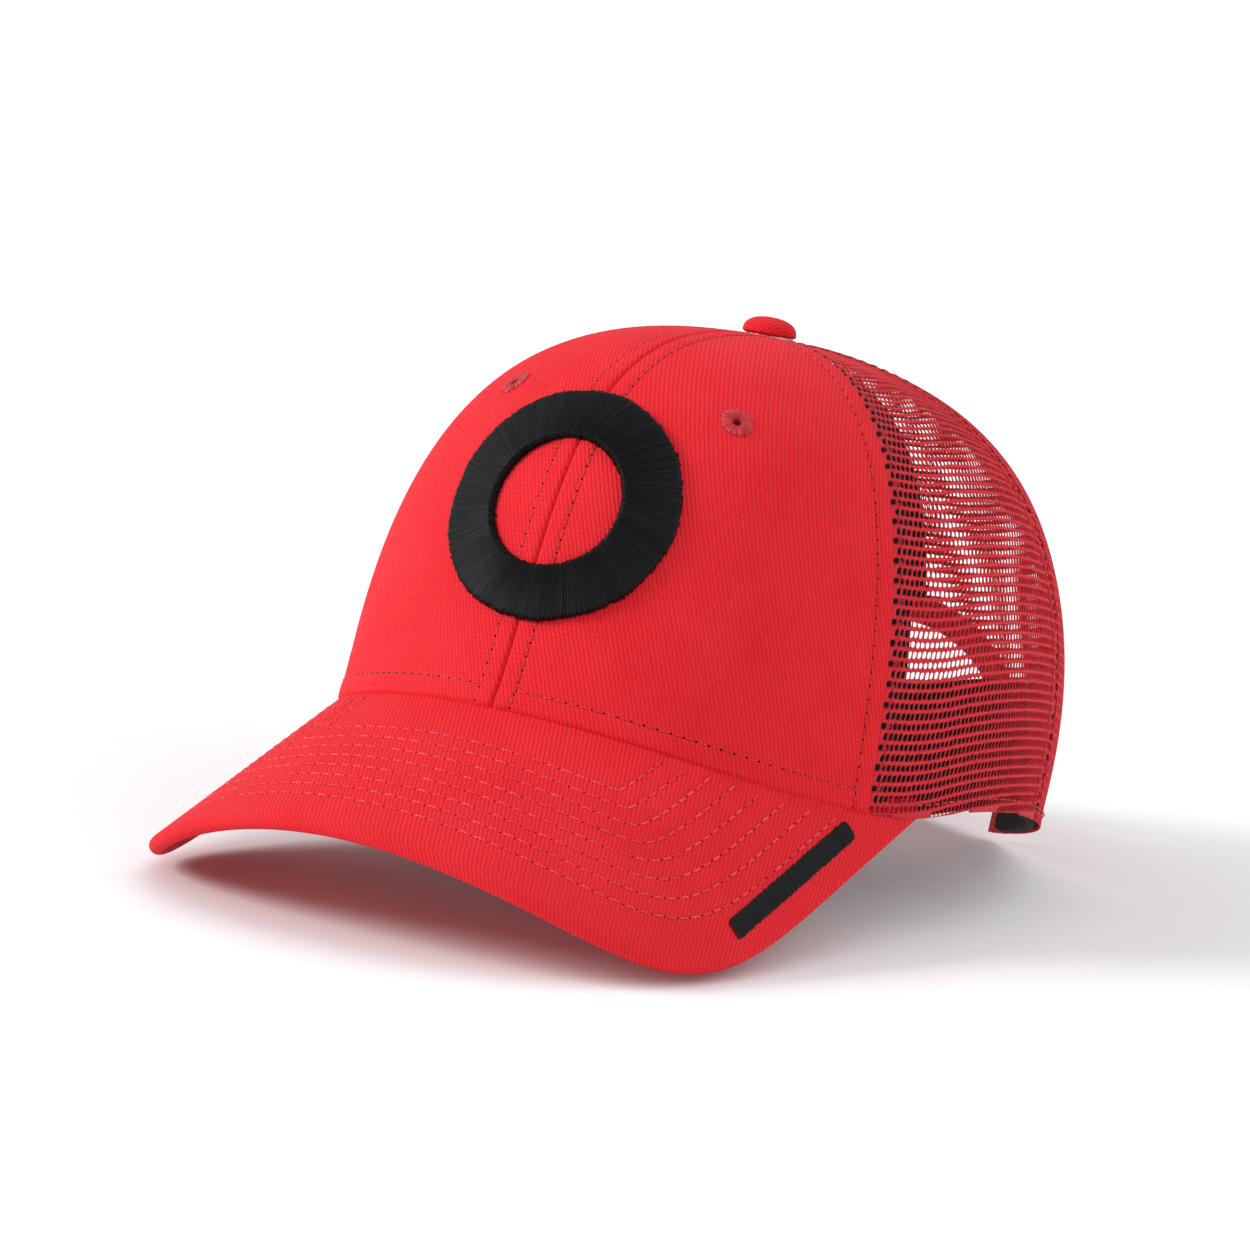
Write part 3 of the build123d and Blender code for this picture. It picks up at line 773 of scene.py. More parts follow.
def build_mesh_panel(kind, side, sign, gore, lean, squeeze, arch=False):
    """A panel of holed mesh: a ring of yarn round each hole, in rows that step half a hole each time."""
    rows = int(MESH_REACH / PITCH_V)
    first = -int((abs(lean) + 3) / PITCH_V) - 1
    low, high = gore.low.min() - 2, gore.high.max() + 2
    k_first = 2 * int(low / PITCH_U) - 2
    k_count = 2 * int((high - low) / PITCH_U) + 6
    i, k = np.meshgrid(np.arange(first, rows), np.arange(k_count), indexing="ij")
    u_line, v_line = (k + k_first) * PITCH_U / 2, i * PITCH_V
    v_mid = v_line + PITCH_V / 2
    shape = u_line.shape
    corner_u, corner_rise, corner_phi = weave_place(gore, u_line, v_line, lean, squeeze)
    side_u, side_rise, side_phi = weave_place(gore, u_line, v_mid, lean, squeeze)

    ci, ck = np.meshgrid(np.arange(shape[0] - 1), np.arange(shape[1] - 2), indexing="ij")
    wanted = (ck + k_first + ci + first) % 2 == 0
    ci, ck = ci[wanted], ck[wanted]
    width = side_u[ci, ck + 2] - side_u[ci, ck]
    tall = corner_rise[ci + 1, ck + 1] - corner_rise[ci, ck + 1]
    wide, high = width / PITCH_U, tall / PITCH_V
    solid = (wide > LEAST_WIDTH) & (high > LEAST_HEIGHT)
    if arch:
        mid_point = skin(side_phi[ci, ck + 1], side_rise[ci, ck + 1])
        solid &= ~in_arch(mid_point, BINDING * 0.3)
    ci, ck = ci[solid], ck[solid]
    holed = ((wide > LEAST_HOLED) & (high > LEAST_HOLED))[solid]

    line_count = shape[0] * shape[1]

    def line_id(a, b):
        return a * shape[1] + b

    def side_id(a, b):
        return line_count + a * shape[1] + b

    ring = np.stack([
        line_id(ci, ck), line_id(ci, ck + 1), line_id(ci, ck + 2), side_id(ci, ck + 2),
        line_id(ci + 1, ck + 2), line_id(ci + 1, ck + 1), line_id(ci + 1, ck), side_id(ci, ck),
    ], -1)
    flat_u = np.concatenate([corner_u.ravel(), side_u.ravel()])
    flat_rise = np.concatenate([corner_rise.ravel(), side_rise.ravel()])
    flat_phi = np.concatenate([corner_phi.ravel(), side_phi.ravel()])
    flat_v = np.concatenate([v_line.ravel(), v_mid.ravel()])

    cell_u = u_line[ci, ck + 1]
    cell_v = v_mid[ci, ck]
    parity = (ci + first) % 2 == 0
    turn = np.radians([225, 270, 315, 0, 45, 90, 135, 180])
    corner = np.isclose(np.abs(np.sin(2 * turn)), 1)
    puff = np.where(parity, 0.73, 0.82)[:, None]
    half_u = np.where(parity, 0.375, 0.365)[:, None] * PITCH_U * chance.normal(1, 0.06, (len(ci), 1))
    half_v = np.where(parity, 0.31, 0.345)[:, None] * PITCH_V * chance.normal(1, 0.05, (len(ci), 1))
    shear = np.where(parity, 0.06, 0.2)[:, None]
    reach = np.where(corner[None], puff * math.sqrt(2), 1.0)
    hole_u = half_u * np.cos(turn) * reach
    hole_v = half_v * np.sin(turn) * reach
    hole_u = cell_u[:, None] + hole_u + shear * hole_v + chance.normal(0, 0.05, (len(ci), 1))
    hole_v = cell_v[:, None] + hole_v + chance.normal(0, 0.05, (len(ci), 1))
    lip_u, lip_rise, lip_phi = weave_place(gore, hole_u, hole_v, lean, squeeze)

    relief = mesh_relief(flat_u, flat_rise, gore, flat_phi)
    front = wall(flat_phi, flat_rise, relief)
    back = wall(flat_phi, flat_rise, relief - YARN)
    lip = wall(lip_phi, lip_rise, mesh_relief(lip_u, lip_rise, gore, lip_phi) - YARN / 2)
    total = len(front)
    points = np.concatenate([front, back, lip.reshape(-1, 3)])
    face_place, lip_place = np.stack([flat_u, flat_v], -1), np.stack([hole_u, hole_v], -1).reshape(-1, 2)
    place = np.concatenate([face_place, face_place, lip_place])

    hole_id = 2 * total + np.arange(len(ci) * 8).reshape(-1, 8)
    here, lips = ring[holed], hole_id[holed]
    here_next, lips_next = np.roll(here, -1, axis=1), np.roll(lips, -1, axis=1)
    front_quads = np.stack([here, here_next, lips_next, lips], -1).reshape(-1, 4)
    back_quads = np.stack([here_next + total, here + total, lips, lips_next], -1).reshape(-1, 4)
    fill = np.concatenate([ring[~holed][:, picked] for picked in ([0, 1, 6, 7], [1, 2, 3, 4], [1, 4, 5, 6])])
    skin_faces = np.concatenate([front_quads, fill])
    outline = outline_edges(skin_faces, total)
    walls = np.stack([outline[:, 1], outline[:, 0], outline[:, 0] + total, outline[:, 1] + total], -1)
    faces = np.concatenate([front_quads, back_quads, fill, fill[:, ::-1] + total, walls])
    mesh_piece(f"{kind}_mesh_net_{side}", mirror_x(points, sign), flip(faces, sign), MESH_YARN, place,
               replaces=[f"{kind}_mesh_{side}"], slot="mesh")


def in_arch(points, spread):
    """Whether points of the wall lie in the back opening, widened by a spread."""
    x, y, z = np.moveaxis(points, -1, 0)
    top = BACK_RIM + ARCH_STRAIGHT
    half = ARCH_HALF + spread
    return (y > 0) & np.where(z > top, np.hypot(x, z - top) < half, np.abs(x) < half)


def build_mesh(side, sign):
    build_mesh_panel("side", side, sign, side_gore, 7.0, 0.1)
    build_mesh_panel("back", side, sign, back_gore, -3.0, 0.0, arch=True)


both_sides(build_mesh)


# ---- Seam allowance, hem and topstitching ----------------------------------------------------------

def build_allowance(side, sign):
    """The folded edge of the side panel, seen through the mesh along the rear seam."""
    start, width, corner = 2.2, 7.2, 3.4
    rise = np.linspace(start, 150, 150)
    _, high = side_gore.bounds(rise)
    shares = np.linspace(0, 1, 9)
    reach = width * np.sqrt(np.clip(1 - ((corner + start - rise).clip(0) / corner) ** 2, 0.04, 1))
    u = high[:, None] - reach[:, None] * (1 - shares[None, :])
    rises = np.repeat(rise[:, None], len(shares), axis=1)
    phi = side_gore.phi(u, rises)
    puff = 0.036 * np.sin(np.pi * shares) ** 0.5
    relief = mesh_relief(u, rises, side_gore, phi) - YARN - 0.03
    faces = grid_faces(*phi.shape)
    faces = faces[(rises < wall_length(phi) - 3).ravel()[faces].all(1)]
    batch = Batch()
    for level, facing in ((relief + puff, sign), (relief - 0.3, -sign)):
        batch.add(mirror_x(wall(phi, rises, level), sign), flip(faces, facing), np.stack([u, rises], -1))
    batch.piece(f"rear_seam_allowance_{side}", BINDING_CLOTH, slot="mesh")


both_sides(build_allowance)

STITCH_RADIUS = 0.21
HEM_STITCH = 3.2


def gore_line(gore, relief, u, rises, proud=0.0):
    """A line up a gore, with its normals."""
    phi = gore.phi(u, rises)
    return wall(phi, rises, relief(u, rises, phi) + proud), skin_normal(phi, rises)


def build_topstitching(side, sign):
    def sew(batch, line, pitch, gap, proud, holes=None):
        points, normals = (mirror_x(part, sign) for part in line)
        add_stitches(batch, points, normals, pitch, gap, STITCH_RADIUS, proud, holes, 0.34)

    threads, holes, hem = Batch(), Batch(), Batch()
    rises = np.arange(SIDE_STITCH * 0.2, float(wall_length(5.0)) - 9, 0.5)
    for u in (np.full_like(rises, SEAM_STITCH), front_gore.bounds(rises)[1] - SIDE_STITCH):
        sew(threads, gore_line(front_gore, front_relief, u, rises), 3.1, 0.75, 0.10, holes)
    phi = np.linspace(2.6, FRONT_SEAM - 2.6, 240)
    level = np.full_like(phi, BRIM_STITCH)
    u = phi / FRONT_SEAM * front_gore.bounds(BRIM_STITCH)[1]
    row = wall(phi, level, front_relief(u, level, phi)), skin_normal(phi, level)
    sew(threads, row, 3.1, 0.75, 0.10, holes)
    threads.piece(f"front_topstitch_{side}", RED_THREAD, slot="red_thread")
    holes.piece(f"front_needle_hole_shade_{side}", NEEDLE_HOLE_SHADE, slot="twill")

    arch_turn = math.degrees(math.asin((ARCH_HALF + BINDING) / 98.0))
    phi = np.linspace(FRONT_SEAM + 2, 179 - arch_turn, 400)
    level = np.full_like(phi, HEM_STITCH)
    sew(hem, (wall(phi, level, 0.22 + 0.12 * np.sin(phi * 0.9)), skin_normal(phi, level)), 2.9, 0.7, 0.12)
    rises = np.arange(2.0, 148, 0.5)
    side_low, side_high = side_gore.bounds(rises)
    back_low, _ = back_gore.bounds(rises)
    for gore, u in ((side_gore, side_low + 1.9), (side_gore, side_high - 5.6), (back_gore, back_low + 1.9)):
        line = gore_line(gore, lambda u, r, p, g=gore: mesh_relief(u, r, g, p), u, rises, 0.05)
        sew(hem, line, 2.9, 0.7, 0.1)
    hem.piece(f"mesh_stitching_{side}", RED_THREAD, slot="red_thread")


both_sides(build_topstitching)


# ---- Brim ------------------------------------------------------------------------------------------

corner_radius = float(plan_radius(CORNER_ANGLE))
CORNER_X = corner_radius * math.sin(math.radians(CORNER_ANGLE))
CORNER_Y = -corner_radius * math.cos(math.radians(CORNER_ANGLE))
CORNER_ROLL = ROLL - math.sqrt(ROLL**2 - CORNER_X**2)
BRIM_BACK = (-FRONT + CORNER_ROLL * math.sin(DROOP) - CORNER_Y) / math.cos(DROOP)
BRIM_HALF = ROLL * math.asin(CORNER_X / ROLL)


def brim_point(u, forward, depth):
    """A place on the rolled brim, a depth below its top face."""
    angle = u / ROLL
    radius = ROLL - depth
    x, drop = radius * np.sin(angle), ROLL - radius * np.cos(angle)
    s, c = math.sin(DROOP), math.cos(DROOP)
    return np.stack([x, -FRONT - forward * c + drop * s, BRIM_SEAM - forward * s - drop * c], -1)


def brim_normal(u):
    angle = u / ROLL
    return np.stack([np.sin(angle), -math.sin(DROOP) * np.cos(angle), math.cos(DROOP) * np.cos(angle)], -1)


def brim_pattern(phi, depth):
    """Place on the brim's pattern of the point below the wall at an angle."""
    s, c = np.sin(np.radians(phi)), np.cos(np.radians(phi))
    radius = 1 / np.hypot(s / (HALF_WIDTH - depth), c / (FRONT - depth))
    x, y = radius * s, -radius * c
    roll = ROLL - np.sqrt(ROLL**2 - x**2)
    return np.stack([ROLL * np.arcsin(x / ROLL), (-FRONT + roll * math.sin(DROOP) - y) / math.cos(DROOP)], -1)


def brim_outline(count):
    """The pattern's edge from the wearer's right corner, round the front, to the left."""
    reach = np.sin(np.linspace(0, np.pi / 2, 2000))
    forward = BRIM_BACK + (PROJECTION - BRIM_BACK) * reach
    tip_share = reach ** (1 / SQUARENESS)
    aside = np.sqrt(1 - tip_share**2)
    left = np.stack([BRIM_HALF * aside + 2 * CORNER_SWELL * aside * tip_share, forward], -1)
    line = np.concatenate([left * (-1, 1), left[-2::-1]])
    return along(line, np.linspace(0, length_of(line), count))


FIRST_ROW, ROW_PITCH, ROWS = 13.0, 5.2, 8
outline = brim_outline(1201)


def edge_distance(places):
    flat = places.reshape(-1, 2)
    gaps = np.empty(len(flat))
    sample = outline[::3]
    for start in range(0, len(flat), 4000):
        part = flat[start : start + 4000]
        gaps[start : start + 4000] = np.sqrt(((part[:, None] - sample[None]) ** 2).sum(-1).min(1))
    return gaps.reshape(places.shape[:-1])


def brim_relief(distance):
    """The cloth dips under each row of stitches."""
    nearest = np.clip(np.round((distance - FIRST_ROW) / ROW_PITCH), 0, ROWS - 1)
    return -0.22 * bell(distance - FIRST_ROW - ROW_PITCH * nearest, 0.6)


BRIM_COLS, BRIM_ROWS, ROUND_ROWS = 420, 110, 7
edge_line = along(outline, np.linspace(0, length_of(outline), BRIM_COLS))
inner_phi = np.linspace(-CORNER_ANGLE, CORNER_ANGLE, BRIM_COLS)
inner_line = brim_pattern(inner_phi, 3.4)
inward_way = inner_line - edge_line
crescent = np.linalg.norm(inward_way, axis=1, keepdims=True)
HALF_THICK = BRIM_THICK / 2
edge_share = np.minimum(HALF_THICK / np.maximum(crescent, 1e-6), 0.5)[None]


def brim_face(top_side):
    share_in = np.linspace(0, 1, BRIM_ROWS)[:, None, None] ** 1.15
    places = edge_line[None] + inward_way[None] * (edge_share + (1 - edge_share) * share_in)
    depth = -brim_relief(edge_distance(places))
    return places, brim_point(places[..., 0], places[..., 1], depth if top_side else BRIM_THICK - depth)


def build_brim():
    def cover(name, places, points, faces, replaces=()):
        mesh_piece(name, points, faces, TWILL_CLOTH, places.reshape(-1, 2) * (-1, 1), replaces=replaces,
                   slot="twill")

    faces = grid_faces(BRIM_ROWS, BRIM_COLS)
    cover("brim_top_cloth", *brim_face(True), faces[:, ::-1], ["brim_top_cover"])
    cover("brim_under_cloth", *brim_face(False), faces, ["brim_under_cover", "brim_board"])
    turn = np.linspace(0, np.pi, 2 * ROUND_ROWS + 1)[:, None]
    places = edge_line[None] + inward_way[None] * edge_share * (1 - np.sin(turn))[..., None]
    points = brim_point(places[..., 0], places[..., 1], HALF_THICK * (1 - np.cos(turn)))
    places[..., 1] += turn * HALF_THICK
    cover("brim_edge_cloth", places, points, grid_faces(len(turn), BRIM_COLS))


build_brim()


def build_brim_stitching():
    """Rows of stitches at even distances from the edge, on both faces, as far back as the crown."""
    threads, holes = Batch(), Batch()
    tangent = unit(np.gradient(outline, axis=0))
    inward = np.stack([tangent[:, 1], -tangent[:, 0]], -1)
    inward = -inward if inward[len(outline) // 2, 1] > 0 else inward
    rim = brim_pattern(np.linspace(-89, 89, 900), -1.6)
    for distance in FIRST_ROW + ROW_PITCH * np.arange(ROWS):
        line = outline + inward * distance
        clear = edge_distance(line) > distance - 0.4
        spots = np.nonzero(clear & (line[:, 1] > np.interp(line[:, 0], rim[:, 0], rim[:, 1])))[0]
        for run in np.split(spots, np.nonzero(np.diff(spots) > 1)[0] + 1):
            if len(run) < 8:
                continue
            u, forward = line[run].T
            for depth, sign in ((0.2, 1), (BRIM_THICK - 0.2, -1)):
                points = brim_point(u, forward, np.full(len(u), depth))
                add_stitches(threads, points, brim_normal(u) * sign, 3.7, 0.8, 0.25, 0.14,
                             holes if sign > 0 else None, 0.26)
    threads.piece("brim_stitch_rows", PALE_THREAD, slot="red_thread")
    holes.piece("brim_needle_hole_shade", NEEDLE_HOLE_SHADE, slot="twill")


build_brim_stitching()


# ---- Embroidery ------------------------------------------------------------------------------------

def thread_lines(count, per):
    """Lines along a row of threads, per of them to each: which thread each line is in, and the thread's
    own roundness there."""
    line = np.arange(count * per)
    return line // per, 0.5 - 0.5 * np.cos(2 * np.pi * (line % per) / per)


def thread_place(run, across, own):
    """Cloth places of satin stitch: along the row of threads, across the band, and the thread's own value."""
    return np.stack(np.broadcast_arrays(run[:, None], across, own[:, None]), -1)


def emblem_frame():
    out = skin_normal(0.0, EMBLEM_RISE)
    across = np.array([1.0, 0, 0])
    return skin(0.0, EMBLEM_RISE), across, np.cross(out, across)


def wall_under(flat_x, flat_y):
    """Angle and rise of the wall's point beneath a point of the emblem's plane."""
    here, across, up = emblem_frame()
    phi = np.degrees(np.arctan2(flat_x, 95.0))
    rise = EMBLEM_RISE + flat_y
    for _ in range(12):
        p = skin(phi, rise)
        slope = (skin(phi + 0.2, rise) - p) @ across / 0.2
        phi = phi + (flat_x - (p - here) @ across) / slope
        rise = rise + flat_y - (p - here) @ up
    return phi, rise


def build_emblem():
    """A raised ring of satin stitch, its threads lying across the band."""
    count, steps, per = 640, 22, 4
    turn = np.arange(count * per) / (count * per) * 2 * np.pi
    across = np.linspace(0, 1, steps)
    thread, ridge = thread_lines(count, per)
    ragged = chance.normal(0, 0.16, (count, 2))
    outer = EMBLEM_RADIUS + ragged[thread, 0] + 0.1 * np.sin(turn * 9)
    inner = EMBLEM_RADIUS - EMBLEM_BAND + ragged[thread, 1]
    radius = inner[:, None] + (outer - inner)[:, None] * (0.5 - 0.5 * np.cos(np.pi * across))[None]
    angle = turn[:, None] + (across - 0.5)[None] * 0.10
    phi, rise = wall_under(radius * np.sin(angle), radius * np.cos(angle))
    edge = np.minimum(across, 1 - across) * EMBLEM_BAND
    swell = EMBLEM_PROUD * ramp(1 - (1 - ramp(edge / 2.4)) ** 2.4)
    height = chance.normal(0, 0.05, count)[thread]
    out = 0.93 * swell[None] + (0.15 * ridge + height)[:, None] * ramp(swell)[None] - 0.12
    out[:, 0] = out[:, -1] = -0.2
    points = wall(phi, rise, out).transpose(1, 0, 2)
    place = thread_place(turn * 22, across[None] * EMBLEM_BAND, chance.random(count)[thread])
    faces = grid_faces(steps, count * per, closed=True)[:, ::-1]
    mesh_piece("front_emblem_satin", points, faces, BLACK_SATIN, place.transpose(1, 0, 2),
               replaces=["front_emblem_stitching", "front_emblem_foam"], slot="black_thread")


build_emblem()


def build_bar():
    """A flat bar of satin stitch along the wearer's left of the brim."""
    count, per, steps = 150, 4, 13
    run = np.linspace(-BAR_LENGTH / 2, BAR_LENGTH / 2, count * per)
    across = np.linspace(-1, 1, steps)
    thread, ridge = thread_lines(count, per)
    ragged = chance.normal(0, 0.12, (count, 2))
    end = ramp((BAR_LENGTH / 2 - np.abs(run)) / 1.4) ** 0.5 * 0.25 + 0.75
    uneven = np.where(across[None] < 0, ragged[thread, :1], ragged[thread, 1:]) * np.abs(across)[None]
    u = BAR_ACROSS + across[None] * ((BAR_WIDTH / 2 * end)[:, None] + uneven)
    forward = BAR_FORWARD + run[:, None] + 0.35 * across[None]
    lift = 0.62 * (1 - np.abs(across) ** 3.2)[None] + 0.12 * ridge[:, None] - 0.06
    lift[:, 0] = lift[:, -1] = -0.25
    mesh_piece("brim_bar_satin", brim_point(u, forward, -lift), grid_faces(count * per, steps), BLACK_SATIN,
               thread_place(run, u, chance.random(count)[thread]), replaces=["brim_bar_stitching"],
               slot="black_thread")


build_bar()


def plane_at(phi, rise):
    here, out = skin(phi, rise), skin_normal(phi, rise)
    across = unit(np.cross([0, 0, 1.0], out))
    return here, across, np.cross(out, across), out


def build_eyelet(side, sign):
    """An embroidered eyelet: overlapping radial threads drawn down into the hole."""
    count, per, steps = 72, 3, 16
    hole, drawn = 1.05, 0.25
    turn = np.arange(count * per) / (count * per) * 2 * np.pi
    t = np.linspace(0, 1, steps)
    thread, ridge = thread_lines(count, per)
    outer = EYELET_RADIUS + chance.normal(0, 0.22, count)[thread]
    here, across, up, out = plane_at(EYELET_ANGLE, EYELET_RISE)
    radius = hole + (outer[:, None] - hole) * ramp((t[None] - drawn) / (1 - drawn))
    rim = np.sqrt(ramp(1 - ((t - 0.62) / 0.40) ** 2))
    lift = (0.75 + 0.12 * ridge)[:, None] * rim[None] - 1.9 * ramp(1 - t / drawn)[None] - 0.05
    angle = turn[:, None] + 0.25 * t[None]
    points = here + radius[..., None] * (np.cos(angle)[..., None] * across + np.sin(angle)[..., None] * up)
    points = (points + lift[..., None] * out).transpose(1, 0, 2)
    place = thread_place(turn * 2.5, radius, chance.random(count)[thread])
    faces = flip(grid_faces(steps, count * per, closed=True), sign)
    mesh_piece(f"eyelet_thread_{side}", mirror_x(points, sign), faces, RED_SATIN, place.transpose(1, 0, 2),
               replaces=[f"eyelet_{side}"], slot="red_thread")


both_sides(build_eyelet)


def build_button():
    """A cloth-covered button, its cloth gathered under the edge."""
    rings, cols, shoulder, lip = 40, 96, 0.78, 0.9
    t = np.linspace(0, 1, rings)
    turn = np.arange(cols) / cols * 2 * np.pi
    bend = ramp(t / shoulder) * np.pi / 2
    under = ramp((t - shoulder) / (1 - shoulder))
    domed = t <= shoulder
    radius = np.where(domed, BUTTON_RADIUS * np.sin(bend) ** 0.92, BUTTON_RADIUS - 1.3 * under)
    height = np.where(domed, lip + (BUTTON_HEIGHT - lip) * np.cos(bend) ** 0.75, lip - 0.75 * under)
    pleat = 0.07 * np.sin(turn * 17)[None] * ramp((t - 0.55) / 0.3)[:, None]
    r = radius[:, None] + pleat
    points = np.stack([r * np.sin(turn), -r * np.cos(turn), TOP + height[:, None] * np.ones(cols)], -1)
    run = run_of(np.stack([radius, height], -1))[:, None]
    place = np.stack([run * np.sin(turn), run * np.cos(turn)], -1)
    mesh_piece("button_cloth", points, grid_faces(rings, cols, closed=True), TWILL_CLOTH, place,
               replaces=["button_cover"], slot="twill")


build_button()


# ---- Sweatband -------------------------------------------------------------------------------------

BAND_FACE_ROWS = 44
BAND_END = 180 - math.degrees(math.asin((ARCH_HALF + BINDING + 1) / float(plan_radius(150))))


def band_profile(low, top):
    """The band's section as depth behind the wall and rise: crowned between its two stitch lines, rolled at
    its top and bottom, then down its back and round the hem."""
    def swell(height, share_of, power):
        return height * ramp(np.sin(np.pi * ramp(share_of))) ** power

    rise = np.linspace(0.5, BAND_HEIGHT - 1.2, BAND_FACE_ROWS)
    crown = swell(0.95, (rise - low) / (top - low), 0.45)
    rolls = np.maximum(swell(0.55, rise / low, 0.6), swell(0.75, (rise - top) / (BAND_HEIGHT - top), 0.6))
    inner = BAND_FRONT + 1.1 + np.maximum(crown, rolls)
    middle, size = (inner[-1] + BAND_FRONT) / 2, (inner[-1] - BAND_FRONT) / 2
    over = [(middle + size * math.cos(turn), BAND_HEIGHT - 1.2 + 1.1 * math.sin(turn))
            for turn in np.linspace(0.15, 1, 8) * np.pi]
    back = [(BAND_FRONT, h) for h in np.linspace(BAND_HEIGHT - 3, 2.4, 8)]
    hem = [(2.2, 1.3), (1.3, 1.0), (1.3, 0.15), (3.2, 0.1)]
    return np.array([*zip(inner, rise), *over, *back, *hem])


def build_sweatband():
    """Cloth wrapped over a foam strip, puckered along its stitch lines."""
    cols = 620
    low, top = 5.0, BAND_HEIGHT - 4.5
    phi = np.linspace(-BAND_END, BAND_END, cols)
    profile = band_profile(low, top)
    rows = len(profile)
    depth, rises = profile[:, :1], profile[:, 1:]
    facing_in = (np.arange(rows) < BAND_FACE_ROWS)[:, None]
    run = run_of(skin(phi, 16.0))
    near_stitch = bell(np.minimum(np.abs(rises - low), np.abs(rises - top)), 3.0)
    pucker = 0.16 * np.sin(run / 3.0 + 2 * np.sin(run / 41)) * near_stitch
    ripple = 0.22 * np.sin(run / 19 + 1.5 * np.sin(run / 57)) * np.sin(rises / 9)
    depth = depth + facing_in * (pucker + ripple) * ramp((rises - 0.5) / 3)
    points = wall(phi[None], rises * np.ones((1, cols)), -depth)
    place = np.stack(np.broadcast_arrays(run[None], run_of(profile)[:, None]), -1)
    faces = swept_faces(rows, cols, -1)
    band = mesh_piece("sweatband_padded", points, faces, BAND_CLOTH, place,
                      replaces=["sweatband_cover", "sweatband_foam"], slot="band_cloth")
    threads = Batch()
    for level in (low, top):
        rises = np.full(cols, level)
        line = wall(phi, rises, -(BAND_FRONT + 1.15))
        add_stitches(threads, line, -skin_normal(phi, rises), 3.2, 0.7, 0.22, 0.12)
    threads.piece("sweatband_stitching", BLACK_THREAD, slot="black_thread")


build_sweatband()


# ---- Opening's binding -----------------------------------------------------------------------------

def back_wall(x, z):
    """Angle and rise of the wall's point at the back at a distance aside and a height."""
    x, z = np.broadcast_arrays(np.asarray(x, float), np.asarray(z, float))
    phi = 180 - np.degrees(np.arcsin(np.clip(x / 104, -0.95, 0.95)))
    rise = np.clip(z - BACK_RIM, 0, None)
    for _ in range(14):
        p = skin(phi, rise)
        slope_phi = (skin(phi + 0.2, rise)[..., 0] - p[..., 0]) / 0.2
        slope_rise = (skin(phi, rise + 0.4)[..., 2] - p[..., 2]) / 0.4
        phi = phi + np.clip((x - p[..., 0]) / slope_phi, -4, 4)
        rise = np.clip(rise + (z - p[..., 2]) / slope_rise, 0, None)
    return phi, rise


def arch_line(width, count=260):
    """Places along the opening's edge, moved away from it by a width: x and z, from left to right."""
    half = ARCH_HALF + width
    top = BACK_RIM + ARCH_STRAIGHT
    straight = ARCH_STRAIGHT - 0.2
    leg = straight / (2 * straight + np.pi * ARCH_HALF)
    t = np.linspace(0, 1, count)
    turn = ramp((t - leg) / (1 - 2 * leg)) * np.pi
    drop = straight * ramp(1 - np.minimum(t, 1 - t) / leg)
    return half * np.cos(turn), top + half * np.sin(turn) - drop


def build_binding():
    """Tape folded over the opening's edge, with a stitched dip near its own edge."""
    proud, gap, row = 0.4, 1.2, 5.4
    fold = (gap + 2 * proud) / 2
    outer = [(w, proud + 0.25 * math.sin(math.pi * min(1, (BINDING - w) / 4.5)) * min(1, w / 2)
              - 0.22 * bell(w - row, 0.5)) for w in np.linspace(BINDING, fold, 18)]
    folded = [(fold - fold * math.sin(a), -gap / 2 + fold * math.cos(a))
              for a in np.linspace(0, np.pi, 9)[1:-1]]
    inner = [(w, -gap - proud) for w in np.linspace(fold, BINDING, 8)]
    profile = np.array(outer + folded + inner)
    lines = [back_wall(*arch_line(width)) for width in profile[:, 0]]
    cols = len(lines[0][0])
    wave = 0.08 * np.sin(np.arange(cols) * 0.55)
    points = [wall(*line, out + wave * (out > 0)) for line, out in zip(lines, profile[:, 1])]
    place = np.stack(np.broadcast_arrays(np.linspace(0, 150, cols), run_of(profile)[:, None]), -1)
    mesh_piece("opening_binding_cloth", points, swept_faces(len(profile), cols), BINDING_CLOTH, place,
               replaces=["back_arch_binding"], slot="binding")
    threads = Batch()
    for width, out in ((row, proud + 0.02), (row, -gap - proud), (1.6, proud + 0.02)):
        line = back_wall(*arch_line(width))
        normals = skin_normal(*line) * (1 if out > 0 else -1)
        add_stitches(threads, wall(*line, np.full(cols, out)), normals, 2.9, 0.7, STITCH_RADIUS, 0.12)
    threads.piece("opening_stitching", RED_THREAD, slot="red_thread")


build_binding()


# ---- Snap closure ----------------------------------------------------------------------------------

CLOSURE_RADIUS = float(plan_radius(180 - ARCH_HALF / 3))
FREE_TURN = math.degrees(STRAP_FREE / CLOSURE_RADIUS)
PEG_TURN = math.degrees(PEG_PITCH / CLOSURE_RADIUS)
STRAP_MIDDLE = STRAP_BOTTOM + STRAP_HEIGHT / 2
STRAP_CORNER = 2.0
BEAD_INSETS = (0.0, 0.5, 1.1, 1.6)
HOLE_RINGS = (PEG_HOLE, PEG_HOLE + 0.35, PEG_HOLE + 0.8, PEG_HOLE + 1.1)
HOLE_POINTS = 28
PEG_ANGLES = [180 - PEG_TURN * (k + 0.5) for k in range(2 - PEGS, 2)]


def peg_depth(turn):
    step = ramp(turn / (ROOT_TURN - FREE_TURN / 2 + 4))
    return STRAP_DEPTH + (STRAP_THICK + STRAP_GAP) * step**2 * (3 - 2 * step)


def arc(centre_s, centre_h, radius, start, end, count):
    return [(centre_s + radius * math.cos(math.radians(a)), centre_h + radius * math.sin(math.radians(a)))
            for a in np.linspace(start, end, count)]


